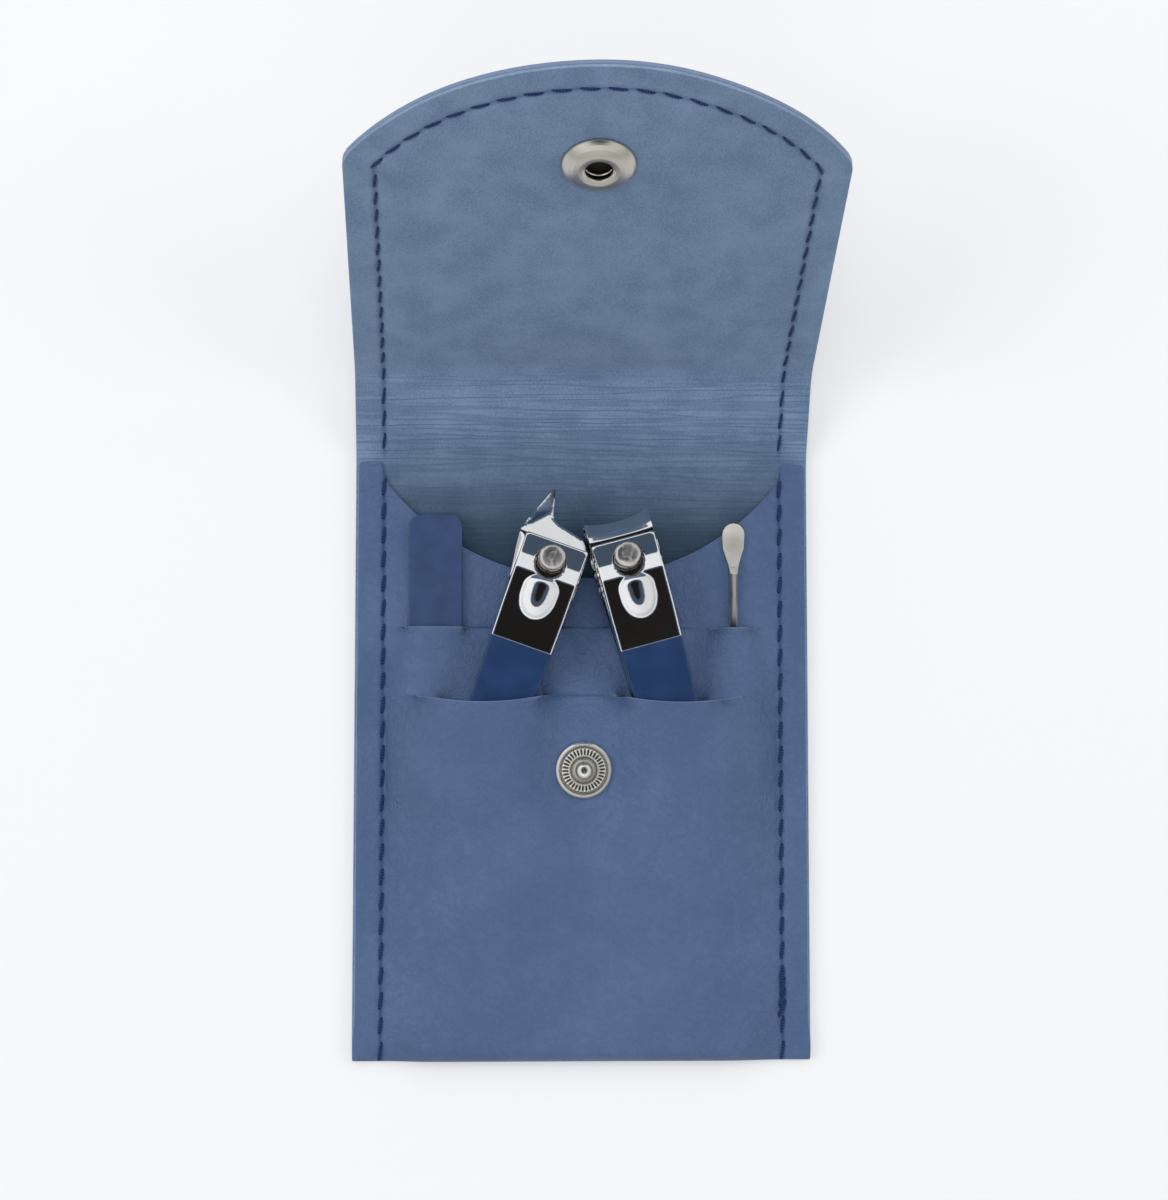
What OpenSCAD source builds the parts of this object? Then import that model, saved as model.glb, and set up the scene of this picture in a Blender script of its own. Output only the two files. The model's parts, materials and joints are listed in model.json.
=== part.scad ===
// Pocket manicure case: a folded leather pouch that lies on its back with the flap raised.
// Two nail clippers, a nail file and an ear pick stand in slits of its front panel.
// X runs across the pouch, +Y towards the flap and +Z up from the table.
// The origin is the centre of the pouch's back face.

/* [Pouch] */
// Width of the pouch across its cut edges
pouch_w = 80.4; // [76:0.2:86]
// Length of the pouch from the bottom fold to the first crease
pouch_l = 106; // [102:0.5:112]
// Thickness of the outer leather
leather_t = 0.9; // [0.7:0.1:1.1]
// Thickness of the suede lining
lining_t = 0.6; // [0.4:0.1:0.8]
// How far the front panel's cut edge lies inside the back panel's
front_inset = 0.8; // [0:0.1:1.2]
// Distance from the cut edge to the side stitching
seam_inset = 5; // [4.6:0.1:5.4]
// Depth of the rolled fold at the bottom
fold_d = 3; // [2.4:0.2:4]
// Height of the pocket's inside above the lining at the bottom fold
fold_puff = 3.9; // [3:0.1:4.6]
// Height of the pocket's inside above the lining at the snap
snap_puff = 5.7; // [5:0.1:6.2]

/* [Mouth and slits] */
// Depth of the scooped mouth below the pouch's top
mouth_drop = 21.3; // [19:0.1:23]
// Radius of the scooped mouth
mouth_r = 44.1; // [42:0.1:50]
// Distance from the pouch's top to the clipper slits
clipper_slit_drop = 42.4; // [41.5:0.1:43.5]
// Width of a clipper slit
clipper_slit_w = 22.9; // [22.3:0.1:23.8]
// How far a clipper slit sags in its middle
clipper_slit_sag = 1.3; // [0.6:0.1:1.8]
// Distance from the pouch's top to the slits of the file and the ear pick
small_slit_drop = 30.2; // [29.6:0.1:31.5]
// How much wider than the file its slit is, at each side
file_slit_margin = 0.8; // [0.7:0.1:1.2]
// How far the lips of a slit stand apart in its middle
lip_open = 0.5; // [0.3:0.1:0.8]
// Width of the ear pick's slit
pick_slit_w = 8.5; // [7:0.1:9.4]

/* [Flap] */
// Length of the spine strip between the two creases
spine_l = 16.5; // [16.3:0.1:18]
// Length of the flap from the second crease to its tip
flap_l = 78.2; // [75:0.2:84]
// Radius of the flap's round end
flap_end_r = 48.1; // [46:0.1:54]
// Radius of the flap's corners
flap_corner_r = 6; // [3:0.5:9]
// Angle of the spine strip above the table as the case lies open
spine_angle = 31; // [26:1:34]
// Angle of the flap above the table as the case lies open
flap_angle = 64.5; // [60:0.5:75]

/* [Stitching] */
// Distance from one stitch to the next
stitch_pitch = 4.3; // [3.6:0.1:5]
// Length of the visible stitch
stitch_l = 2.6; // [2:0.1:3]
// Thickness of the thread
thread_d = 0.6; // [0.4:0.1:0.8]

/* [Snap fastener] */
// Diameter of the stud's flange
stud_d = 10; // [9:0.2:11]
// Height of the stud from the leather to the top of its ball
stud_h = 3; // [2.8:0.1:3.1]
// Diameter of the stud's ball
stud_ball_d = 3.2; // [2.8:0.1:3.4]
// Number of flutes in the stud's ring
stud_flutes = 30; // [24:1:36]
// Diameter of the socket on the flap
socket_d = 12; // [11:0.2:13]
// Height of the socket above the lining
socket_h = 2.2; // [2:0.1:2.3]
// Diameter of the socket's mouth
socket_mouth_d = 4.2; // [4:0.1:4.4]
// Diameter of the cap on the flap's outside
cap_d = 12.4; // [11:0.2:14]
// Height of the domed cap
cap_h = 1.2; // [0.9:0.1:1.4]
// Distance from the pouch's top to the snap
snap_drop = 55.4; // [54.4:0.2:57]
// Distance between the leather under the stud and the lining over it, with the case shut
snap_stack = 3.6; // [3.5:0.05:3.8]

/* [Clippers] */
// Width of the clippers' leaves at the jaws
clipper_w = 11.8; // [11.4:0.1:12]
// Width of the leaves at the tail
tail_w = 9.6; // [8.6:0.1:10.4]
// Distance from the post to the end of the tail
tail_l = 46; // [43:0.5:48]
// Thickness of a leaf
leaf_t = 1.3; // [1.1:0.1:1.5]
// How far the leaves bow apart from where they meet
leaf_bow = 2.55; // [2.3:0.05:2.8]
// Gap between the open jaws
jaw_gap = 2.4; // [2:0.1:2.6]
// Distance from the post to the straight jaw's edge
jaw_l = 7; // [6.6:0.1:7.6]
// Distance from the post to the slanted jaw's point
slant_l = 11.6; // [10.5:0.1:12.4]
// Width of the levers
lever_w = 11.3; // [10.8:0.1:11.6]
// Thickness of the levers
lever_t = 1.2; // [1:0.1:1.4]
// Diameter of the post through the leaves
post_d = 3.2; // [2.8:0.1:3.4]
// Diameter of the post's domed head
post_head_d = 4.4; // [4:0.1:4.8]
// Lean of the left clipper towards the middle
left_lean = 19.4; // [17:0.1:21]
// Lean of the right clipper towards the middle
right_lean = 15.3; // [14:0.1:17]

/* [Small tools] */
// Width of the nail file
file_w = 9.3; // [8.4:0.1:9.8]
// Thickness of the nail file
file_t = 1.2; // [1:0.1:1.3]
// Length of the nail file
file_l = 85; // [78:1:88]
// Length of the file's painted handle
file_handle_l = 38; // [30:1:44]
// Diameter of the ear pick's shaft
pick_d = 1.4; // [1.2:0.1:1.6]
// Length of the ear pick
pick_l = 84; // [78:1:88]
// Width of the ear pick's spoon
spoon_w = 3.9; // [3.2:0.1:4.4]
// Length of the ear pick's spoon
spoon_l = 8.6; // [7.6:0.1:9.4]

/* [Clearances] */
// Gap between a tool and the leather that it lies on or passes under
seat_gap = 0.3; // [0.2:0.05:0.35]
// Gap between the lever and the leaf under it
lever_gap = 0.25; // [0.2:0.05:0.35]
// Running gap round the post and the rivet
pin_gap = 0.35; // [0.3:0.05:0.45]

/* [Hidden] */
$fn = 64;
leather_blue = [0.29, 0.37, 0.54];
suede_blue = [0.33, 0.43, 0.57];
thread_navy = [0.09, 0.13, 0.30];
paint_navy = [0.14, 0.22, 0.42];
chrome = [0.80, 0.81, 0.83];
steel = [0.68, 0.66, 0.62];

// Levels and edges of the pouch
top_y = pouch_l / 2;
bottom_y = -pouch_l / 2;
lining_top = leather_t + lining_t;
seam_x = pouch_w / 2 - seam_inset;
front_half_w = pouch_w / 2 - front_inset;
fold_y = bottom_y + fold_d;
clipper_slit_y = top_y - clipper_slit_drop;
small_slit_y = top_y - small_slit_drop;
snap_y = top_y - snap_drop;
mouth_y = top_y - mouth_drop;

// Places of the tools: the clippers from the pouch's middle, the file beside the left one, the pick from its seam
left_slit_x = -17.65;
right_slit_x = 16.6;
file_past_slit_middle = 8.3;
pick_from_seam = 8.4;
file_x = left_slit_x - file_past_slit_middle;
pick_x = seam_x - pick_from_seam;

// Clipper profile: heights above the underside of the lower leaf at the post
meet_w = leaf_t + leaf_bow;
lever_rest_w = 2 * meet_w + lever_gap + 0.15;
lever_crease = 4.1;
keyhole_back = 1.2;
keyhole_r = 2.5;
lever_tail_drop = 2.3;
lever_front_drop = 0.55;
lever_fade = 12.2;
contact_l = 8;
bow_run = 34;
leaf_seam = 0.08;
clipper_tilt = 3;
clipper_base_z = 3.1 + leather_t + 2 * seat_gap;
post_past_slit = 26.0;
left_post = [
    left_slit_x + 3.48 + post_past_slit * sin(left_lean),
    clipper_slit_y - 0.4 + post_past_slit * cos(left_lean)
];
right_post = [
    right_slit_x - 2.55 - post_past_slit * sin(right_lean),
    clipper_slit_y - 0.4 + post_past_slit * cos(right_lean)
];
lever_swing = 2;
left_drift = 3.4;
lever_margin = 0.4;
seat_margin = 0.6;
seat_run = 1.3;
pad_margin = 2;
pad_run = 4.3;

// The file and the ear pick lie on the lining below and on the front panel above their slits
file_past_slit = 20;
pick_past_slit = 18.6;
tool_floor = lining_top + 0.25;
tool_rise = leather_t + seat_gap;
file_tilt = atan(tool_rise / (file_l - file_past_slit));
pick_tilt = atan(tool_rise / (pick_l - pick_past_slit));

// Snap: barrel through the leather, rim and dished floor of the stud's flange
stud_barrel_d = 3.2;
rim_t = 0.9;
dish_t = 0.4;

// Shut flap: the spine stands upright and the flap comes down on the stud
pad_z = lining_top + snap_puff + leather_t;
shut_drop = lining_top + spine_l - pad_z;
snap_reach = norm([snap_drop, shut_drop]);
shut_slope = atan2(shut_drop, snap_drop) - asin(snap_stack / snap_reach);
socket_s = sqrt(snap_reach * snap_reach - snap_stack * snap_stack);

// Small functions
function clamp01(t) = max(0, min(1, t));
function ease(t) = let (c = clamp01(t)) c * c * (3 - 2 * c);
function mix(a, b, t) = a + (b - a) * t;
function plateau(t, low, high, run_low, run_high) =
    ease((t - low + run_low) / run_low) * ease((high + run_high - t) / run_high);
function strongest(list) = pow(sum([for (d = list) pow(d, 4)]), 0.25);
function sum(list, i = 0) = i < len(list) ? list[i] + sum(list, i + 1) : 0;
function sorted(list) =
    len(list) < 2 ? list :
    let (
        pivot = list[0],
        below = [for (v = list) if (v < pivot - 0.01) v],
        above = [for (v = list) if (v > pivot + 0.01) v]
    ) concat(sorted(below), [pivot], sorted(above));

// Clipper side profile, as heights over the post's foot at the distance u ahead of the post
function bow(u) = ease((u + tail_l - contact_l) / bow_run);
function leaf_under(u) = leaf_bow * (1 - bow(u));
function lever_under(u) =
    u > -lever_crease ?
        mix(lever_rest_w, lever_rest_w - lever_front_drop, (u + lever_crease) / (lever_crease + 4.6)) :
        mix(lever_rest_w, lever_rest_w - lever_tail_drop, (-lever_crease - u) / (tail_l - lever_crease));
function leaf_under_z(u) = clipper_base_z + u * sin(clipper_tilt) + leaf_under(u);
function lever_top_z(u) = clipper_base_z + u * sin(clipper_tilt) + lever_under(u) + lever_t;

// Distance ahead of and to the right of a post, for a point of the pouch
function ahead(x, y, post, lean) = (x - post[0]) * sin(lean) + (y - post[1]) * cos(lean);
function aside(x, y, post, lean) = (x - post[0]) * cos(lean) - (y - post[1]) * sin(lean);

// Heights of the small tools' undersides along the pouch
function file_under_z(y) = tool_floor + (y - small_slit_y - file_past_slit + file_l) * tan(file_tilt);
function pick_under_z(y) = tool_floor + (y - small_slit_y - pick_past_slit + pick_l) * tan(pick_tilt);

// Front panel: slit rows, mouth edge and the height of the leather's inner face
file_slit_half = file_w / 2 + file_slit_margin;
clipper_slits = [for (x = [left_slit_x, right_slit_x]) [x - clipper_slit_w / 2, x + clipper_slit_w / 2]];
small_slits = [
    [file_x - file_slit_half, file_x + file_slit_half],
    [pick_x - pick_slit_w / 2, pick_x + pick_slit_w / 2]
];
function inside(x, slits) = len([for (s = slits) if (x > s[0] + 0.005 && x < s[1] - 0.005) 1]) > 0;
function slit_sag(x, s) = let (t = (2 * x - s[0] - s[1]) / (s[1] - s[0])) clipper_slit_sag * max(0, 1 - t * t);
function lips(x, slits) =
    sum([for (s = slits) let (t = (2 * x - s[0] - s[1]) / (s[1] - s[0])) lip_open * max(0, 1 - t * t)]);
function clipper_row_y(x) = clipper_slit_y - slit_sag(x, clipper_slits[0]) - slit_sag(x, clipper_slits[1]);
function scoop_y(x) = mouth_y + mouth_r - sqrt(mouth_r * mouth_r - x * x);
function mouth_edge_y(x) =
    let (a = min(abs(x), seam_x))
    mix(scoop_y(a), top_y - 0.6, ease((abs(x) - seam_x + 0.4) / 1.8));
seam_flat = seam_x - 1;
function side_rise(x) = ease((seam_flat - abs(x)) / 8);
function lift(y) =
    max(0.25, mix(fold_puff, snap_puff, ease((y - fold_y) / 38)) * (1 - ease((y - snap_y - 6) / 22)));
function base_z(x, y) = lining_top + side_rise(x) * lift(y);
function pad_line(y) = pad_z - leather_t + (y - snap_y) * tan(shut_slope);

function file_cover(x, y) =
    let (
        below = max(0, small_slit_y - y),
        lower = max(0, clipper_slit_y - y),
        run_left = min(seam_flat + file_x - file_w / 2 - seat_gap, file_slit_margin - seat_gap + 0.4 * below),
        run_right = file_slit_margin - seat_gap + 0.04 * below + 0.4 * lower,
        end_y = small_slit_y + file_past_slit - file_l
    )
    plateau(x, file_x - file_w / 2 - seat_gap, file_x + file_w / 2 + seat_gap, run_left, run_right)
        * ease((y - end_y + 8) / 8) * max(0, file_under_z(y) + file_t + seat_gap - base_z(x, y));
function pick_cover(x, y) =
    let (
        below = max(0, small_slit_y - y),
        room = pick_slit_w / 2 - pick_d / 2 - seat_gap,
        run = min(seam_flat - pick_x - pick_d / 2 - seat_gap, room + 0.3 * below),
        end_y = small_slit_y + pick_past_slit - pick_l
    )
    plateau(x, pick_x - pick_d / 2 - seat_gap, pick_x + pick_d / 2 + seat_gap, run, run)
        * ease((y - end_y + 8) / 8) * max(0, pick_under_z(y) + pick_d + seat_gap - base_z(x, y));
function lever_cover(x, y, post, lean, side, drift) =
    let (
        u = ahead(x, y, post, lean),
        v = aside(x, y, post, lean) * side,
        below = max(0, clipper_row_y(x) - y),
        swing = -u * tan(lever_swing),
        half = lever_w / 2 + seat_gap + lever_margin
    )
    plateau(v, -half, half + swing + drift, 1.2 + 0.75 * below, 3.4 + 0.75 * below)
        * ease((u + tail_l + lever_fade) / (lever_fade - 1)) * ease((seam_flat - abs(x)) / 5)
        * max(0, lever_top_z(max(u, -tail_l)) + seat_gap - base_z(x, y));

// Weight of the seat that a clipper presses into the panel above the slits
function seat_weight(x, y, post, lean, drift) =
    let (v = aside(x, y, post, lean), half = clipper_w / 2 + seat_margin)
    plateau(v, -half - drift, half, seat_run, seat_run);
function seat_z(x, y, post, lean) =
    max(lining_top + 0.1, leaf_under_z(ahead(x, y, post, lean)) - seat_gap - leather_t);
function over_file(x, y) =
    let (reach = file_w / 2 + seat_gap)
    lining_top + plateau(x, file_x - reach, file_x + reach, 1, file_slit_margin - seat_gap)
        * (file_under_z(y) + file_t + seat_gap - lining_top);
function press(z, x, y, low = 0) =
    let (
        left_z = max(low, seat_z(x, y, left_post, left_lean)),
        a = mix(z, left_z, seat_weight(x, y, left_post, left_lean, left_drift))
    )
    mix(a, seat_z(x, y, right_post, -right_lean), seat_weight(x, y, right_post, -right_lean, 0));

// The height below the clipper slits, between the slit rows and above them
function pad_weight(x, y) = 1 - ease((norm([x, y - snap_y]) - stud_d / 2 - pad_margin) / pad_run);
function low_z(x, y) =
    let (
        covers = [
            file_cover(x, y), pick_cover(x, y),
            lever_cover(x, y, left_post, left_lean, -1, left_drift),
            lever_cover(x, y, right_post, -right_lean, 1, 0)
        ]
    )
    mix(base_z(x, y) + strongest(covers), pad_line(y), pad_weight(x, y))
        + lips(x, clipper_slits) * ease(1 - (clipper_row_y(x) - y) / 4);
function small_covers(x, y) =
    base_z(x, y) + strongest([file_cover(x, y), pick_cover(x, y)])
        + lips(x, small_slits) * ease(1 - (small_slit_y - y) / 4);
function middle_z(x, y) = press(small_covers(x, y), x, y, over_file(x, y));
function under_tool(z, x, y) =
    let (
        a = plateau(x, small_slits[0][0] + 0.2, small_slits[0][1] - 0.2, 2, 2),
        b = plateau(x, small_slits[1][0] + 0.2, small_slits[1][1] - 0.2, 2, 2),
        at_file = mix(z, file_under_z(y) - seat_gap - leather_t, a)
    )
    mix(at_file, pick_under_z(y) - seat_gap - leather_t, b);
function high_z(x, y) = let (z = under_tool(base_z(x, y), x, y)) min(z, press(z, x, y));

// Hole for the snap's barrel: the cells round one point of the grid are left out
hole_span = 1.9;
hole_r = stud_barrel_d / 2 + 0.25;

// Columns across the panel: the slit ends, the tool edges and even steps between them
column_step = 1.9;
key_columns = sorted(concat(
    [-front_half_w, front_half_w, -seam_x - 1.4, seam_x + 1.4, -seam_flat, seam_flat],
    [for (s = concat(clipper_slits, small_slits)) each s],
    [file_x - file_w / 2 - seat_gap, file_x + file_w / 2 + seat_gap],
    [-hole_span, 0, hole_span]
));
columns = [
    for (i = [0 : len(key_columns) - 2])
        let (a = key_columns[i], b = key_columns[i + 1], n = max(1, round((b - a) / column_step)))
        for (k = [0 : n - 1]) mix(a, b, k / n),
    key_columns[len(key_columns) - 1]
];
last_column = len(columns) - 1;
hole_column = [for (c = [0 : last_column]) if (abs(columns[c]) < 0.001) c][0];

// Rows along the panel: round the fold, up to the clipper slits, to the small slits, to the mouth
fold_steps = 6;
snap_steps = 17;
slit_steps = 5;
middle_steps = 5;
high_steps = 6;
hole_row = fold_steps + snap_steps;
low_row = hole_row + slit_steps;
middle_row = low_row + 1;
small_row = middle_row + middle_steps;
high_row = small_row + 1;
last_row = high_row + high_steps;

function fold_point(x, phi, outer) =
    let (
        tall = low_z(x, fold_y) + leather_t,
        skin = outer ? 0 : leather_t
    )
    [x, fold_y - (fold_d - skin) * cos(phi), tall / 2 + (tall / 2 - skin) * sin(phi)];
function near_hole(r, c) = abs(r - hole_row) <= 1 && abs(c - hole_column) <= 1;
function hole_place(r, c) =
    let (turn = atan2(r - hole_row, c - hole_column), reach = (r == hole_row && c == hole_column) ? 0 : hole_r)
    [reach * cos(turn), snap_y + reach * sin(turn)];
function low_row_y(r, x) =
    r <= hole_row ? mix(fold_y, snap_y, (r - fold_steps) / snap_steps)
        : mix(snap_y, clipper_row_y(x), (r - hole_row) / slit_steps);
function panel_point(r, c, outer) =
    let (up = outer ? leather_t : 0, x = columns[c])
    near_hole(r, c) ? let (p = hole_place(r, c)) [p[0], p[1], low_z(p[0], p[1]) + up] :
    r < fold_steps ? fold_point(x, -90 + 180 * r / fold_steps, outer) :
    r <= low_row ? let (y = low_row_y(r, x)) [x, y, low_z(x, y) + up] :
    r <= small_row ?
        let (y = mix(clipper_row_y(x), small_slit_y, (r - middle_row) / middle_steps))
        [x, y, (r == middle_row && !inside(x, clipper_slits) ? low_z(x, y) : middle_z(x, y)) + up] :
        let (y = mix(small_slit_y, mouth_edge_y(x), (r - high_row) / high_steps))
        [x, y, (r == high_row && !inside(x, small_slits) ? middle_z(x, y) : high_z(x, y)) + up];

// A row that has no slit in a column shares its point with the row before it
function point_row(r, c) =
    r == middle_row && !inside(columns[c], clipper_slits) ? low_row :
    r == high_row && !inside(columns[c], small_slits) ? small_row : r;
function outer_id(r, c) = point_row(r, c) * (last_column + 1) + c;
function inner_id(r, c) = outer_id(r, c) + (last_row + 1) * (last_column + 1);
panel_points = [
    for (outer = [true, false]) for (r = [0 : last_row]) for (c = [0 : last_column]) panel_point(r, c, outer)
];
function quad(a, b, c, d) = [[a, b, c], [a, c, d]];
function skin_faces(r, c) = concat(
    quad(outer_id(r, c), outer_id(r + 1, c), outer_id(r + 1, c + 1), outer_id(r, c + 1)),
    quad(inner_id(r, c), inner_id(r, c + 1), inner_id(r + 1, c + 1), inner_id(r + 1, c))
);
function end_wall(r, c) = quad(outer_id(r, c), inner_id(r, c), inner_id(r, c + 1), outer_id(r, c + 1));
function start_wall(r, c) = quad(outer_id(r, c), outer_id(r, c + 1), inner_id(r, c + 1), inner_id(r, c));
function slit_opens(c, slits) = inside((columns[c] + columns[c + 1]) / 2, slits);
function in_hole(r, c) = (r == hole_row || r == hole_row - 1) && (c == hole_column || c == hole_column - 1);
strips = [for (r = [0 : last_row - 1]) if (r != low_row && r != small_row) r];
hole_ring = [[-1, -1], [-1, 0], [-1, 1], [0, 1], [1, 1], [1, 0], [1, -1], [0, -1]];
panel_faces = concat(
    [for (r = strips) for (c = [0 : last_column - 1]) if (!in_hole(r, c)) each skin_faces(r, c)],
    [for (k = [0 : 7])
        let (a = hole_ring[k] + [hole_row, hole_column], b = hole_ring[(k + 1) % 8] + [hole_row, hole_column])
        each quad(outer_id(a[0], a[1]), inner_id(a[0], a[1]), inner_id(b[0], b[1]), outer_id(b[0], b[1]))],
    [for (c = [0 : last_column - 1]) each start_wall(0, c)],
    [for (c = [0 : last_column - 1]) each end_wall(last_row, c)],
    [for (c = [0 : last_column - 1]) if (slit_opens(c, clipper_slits))
        each concat(end_wall(low_row, c), start_wall(middle_row, c))],
    [for (c = [0 : last_column - 1]) if (slit_opens(c, small_slits))
        each concat(end_wall(small_row, c), start_wall(high_row, c))],
    [for (r = strips) each quad(outer_id(r, 0), inner_id(r, 0), inner_id(r + 1, 0), outer_id(r + 1, 0))],
    [for (r = strips) let (c = last_column)
        each quad(outer_id(r, c), outer_id(r + 1, c), inner_id(r + 1, c), inner_id(r, c))]
);

// Flap outline: straight sides, round corners and a round end, drawn inset from the cut edge
function end_centre() = flap_l - flap_end_r;
function corner_s() =
    let (reach = flap_end_r - flap_corner_r, side = pouch_w / 2 - flap_corner_r)
    end_centre() + sqrt(reach * reach - side * side);
function corner_turn() = atan2(corner_s() - end_centre(), pouch_w / 2 - flap_corner_r);
function flap_edge(inset) =
    let (
        corner = [pouch_w / 2 - flap_corner_r, corner_s()],
        turn = corner_turn(),
        corner_arc = [for (k = [0 : 6]) let (a = turn * k / 6)
            corner + (flap_corner_r - inset) * [cos(a), sin(a)]],
        end_arc = [for (k = [1 : 23]) let (a = mix(turn, 180 - turn, k / 24))
            [0, end_centre()] + (flap_end_r - inset) * [cos(a), sin(a)]],
        mirrored = [for (k = [6 : -1 : 0]) [-corner_arc[k][0], corner_arc[k][1]]]
    )
    concat(corner_arc, end_arc, mirrored);

module at_spine() {
    translate([0, top_y, lining_top])
        rotate([spine_angle, 0, 0])
            children();
}

module at_flap() {
    at_spine()
        translate([0, spine_l, 0])
            rotate([flap_angle - spine_angle, 0, 0])
                children();
}

module at_stud() {
    translate([0, snap_y, pad_z])
        rotate([shut_slope, 0, 0])
            children();
}

module at_socket() {
    at_flap()
        translate([0, socket_s, 0])
            children();
}

// Pouch leather and lining
module sheet(width, length, thickness) {
    translate([-width / 2, 0, -thickness])
        cube([width, length, thickness]);
}

module back_panel() {
    color(leather_blue)
        translate([0, fold_y, leather_t])
            sheet(pouch_w, pouch_l - fold_d, leather_t);
}

module pocket_lining() {
    color(suede_blue)
        translate([0, fold_y, lining_top])
            sheet(pouch_w, pouch_l - fold_d, lining_t);
}

module front_panel() {
    color(leather_blue)
        polyhedron(points = panel_points, faces = panel_faces, convexity = 12);
}

module spine_leather() {
    color(leather_blue)
        at_spine()
            translate([0, 0, -lining_t])
                sheet(pouch_w, spine_l, leather_t);
}

module spine_lining() {
    color(suede_blue)
        at_spine()
            sheet(pouch_w, spine_l, lining_t);
}

module flap_sheet(thickness) {
    difference() {
        linear_extrude(thickness)
            polygon(concat([[-pouch_w / 2, 0], [pouch_w / 2, 0]], flap_edge(0)));
        translate([0, socket_s, -thickness])
            cylinder(h = 3 * thickness, d = stud_barrel_d + 0.2);
    }
}

module flap_leather() {
    color(leather_blue)
        at_flap()
            translate([0, 0, -lining_top])
                flap_sheet(leather_t);
}

module flap_lining() {
    color(suede_blue)
        at_flap()
            translate([0, 0, -lining_t])
                flap_sheet(lining_t);
}

// Thread: short rounded bars that lie on the surface
module stitch() {
    r = thread_d / 2;
    half = stitch_l / 2 - r;
    translate([0, 0, r])
        rotate([90, 0, 0])
            union() {
                cylinder(h = 2 * half, r = r, center = true, $fn = 16);
                for (s = [-1, 1])
                    translate([0, 0, s * half])
                        sphere(r = r, $fn = 16);
            }
}

module stitch_run(x, from, to) {
    n = floor((to - from - stitch_l) / stitch_pitch);
    for (k = [0 : n])
        translate([x, from + stitch_l / 2 + k * stitch_pitch, 0])
            stitch();
}

module side_stitching(side) {
    color(thread_navy)
        translate([0, 0, lining_top + leather_t])
            stitch_run(side * seam_x, fold_y + 1, top_y - 3);
}

module spine_stitching() {
    color(thread_navy)
        at_spine()
            for (side = [-1, 1])
                stitch_run(side * seam_x, 1.2, spine_l - 0.6);
}

module flap_stitching() {
    corner = [pouch_w / 2 - flap_corner_r, corner_s()];
    path_r = flap_end_r - seam_inset;
    turn = corner_turn();
    step = stitch_pitch / path_r * 180 / PI;
    n = floor((180 - 2 * turn) / step);
    start = 90 - n * step / 2;
    color(thread_navy)
        at_flap() {
            for (side = [-1, 1])
                stitch_run(side * seam_x, 1, corner[1] + 1);
            for (k = [0 : n])
                let (a = start + k * step)
                translate([path_r * cos(a), end_centre() + path_r * sin(a), 0])
                    rotate([0, 0, a])
                        stitch();
        }
}

// Snap fastener
module snap_stud() {
    r = stud_d / 2;
    ball = stud_ball_d / 2;
    color(chrome)
        at_stud() {
            rotate_extrude()
                polygon([
                    [0, 0], [r - 0.3, 0], [r, 0.3], [r, rim_t - 0.25], [r - 0.25, rim_t],
                    [r - 0.6, rim_t], [r - 0.9, dish_t], [0.76 * r, dish_t], [0.72 * r, rim_t],
                    [0.52 * r, rim_t], [0.48 * r, dish_t + 0.1], [ball - 0.3, dish_t + 0.1],
                    [ball - 0.35, stud_h - 1.3], [ball, stud_h - 0.8], [ball, stud_h - 0.5],
                    [ball - 0.2, stud_h - 0.15], [ball - 0.7, stud_h], [0, stud_h]
                ]);
            for (k = [0 : stud_flutes - 1])
                rotate([0, 0, 360 * k / stud_flutes])
                    translate([0.5 * r, -0.11, dish_t])
                        cube([0.28 * r, 0.22, rim_t - dish_t + 0.15]);
        }
}

module snap_stud_eyelet() {
    inner = stud_barrel_d / 2;
    color(steel)
        at_stud()
            translate([0, 0, -leather_t])
                rotate_extrude()
                    polygon([
                        [0.9, -0.5], [4.1, -0.5], [4.3, -0.3], [4.3, 0], [inner, 0],
                        [inner, leather_t], [0.9, leather_t]
                    ]);
}

module snap_socket() {
    r = socket_d / 2;
    mouth = socket_mouth_d / 2;
    color(chrome)
        at_socket()
            rotate_extrude()
                polygon([
                    [3.1, 0], [r, 0], [r, 0.35], [r - 0.3, 0.8], [r - 1.1, socket_h - 0.35],
                    [r - 1.9, socket_h], [r - 2.5, socket_h], [r - 3.1, socket_h - 0.5],
                    [mouth + 0.1, socket_h - 0.7], [mouth, socket_h - 0.9], [mouth, socket_h - 1.3],
                    [3.1, socket_h - 1.3]
                ]);
}

module snap_socket_spring() {
    wire = 0.28;
    color(steel)
        at_socket()
            translate([0, 0, wire + 0.05])
                rotate([0, 0, 30])
                    rotate_extrude(angle = 310)
                        translate([2.35, 0])
                            circle(r = wire, $fn = 24);
}

module snap_cap() {
    r = cap_d / 2;
    dome_r = (r * r + cap_h * cap_h) / (2 * cap_h);
    color(chrome)
        at_socket()
            translate([0, 0, -lining_top]) {
                intersection() {
                    translate([0, 0, dome_r - cap_h])
                        sphere(r = dome_r, $fn = 160);
                    translate([0, 0, -cap_h])
                        cylinder(h = cap_h, r = r, $fn = 160);
                }
                difference() {
                    cylinder(h = lining_top, d = stud_barrel_d);
                    translate([0, 0, 0.3])
                        cylinder(h = lining_top, d = stud_barrel_d - 1);
                }
            }
}

// Clippers, drawn with the post at the origin and the jaws towards +Y
module at_left_clipper() {
    translate([left_post[0], left_post[1], clipper_base_z])
        rotate([clipper_tilt, 0, -left_lean])
            children();
}

module at_right_clipper() {
    translate([right_post[0], right_post[1], clipper_base_z])
        rotate([clipper_tilt, 0, right_lean])
            children();
}

module side_cut(points, width) {
    rotate([90, 0, 90])
        linear_extrude(width, center = true)
            polygon(points);
}

// Stations along a leaf, from the tail to the post
leaf_stations = [for (k = [0 : 13]) mix(-tail_l + contact_l, -tail_l + contact_l + bow_run, k / 13)];

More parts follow.
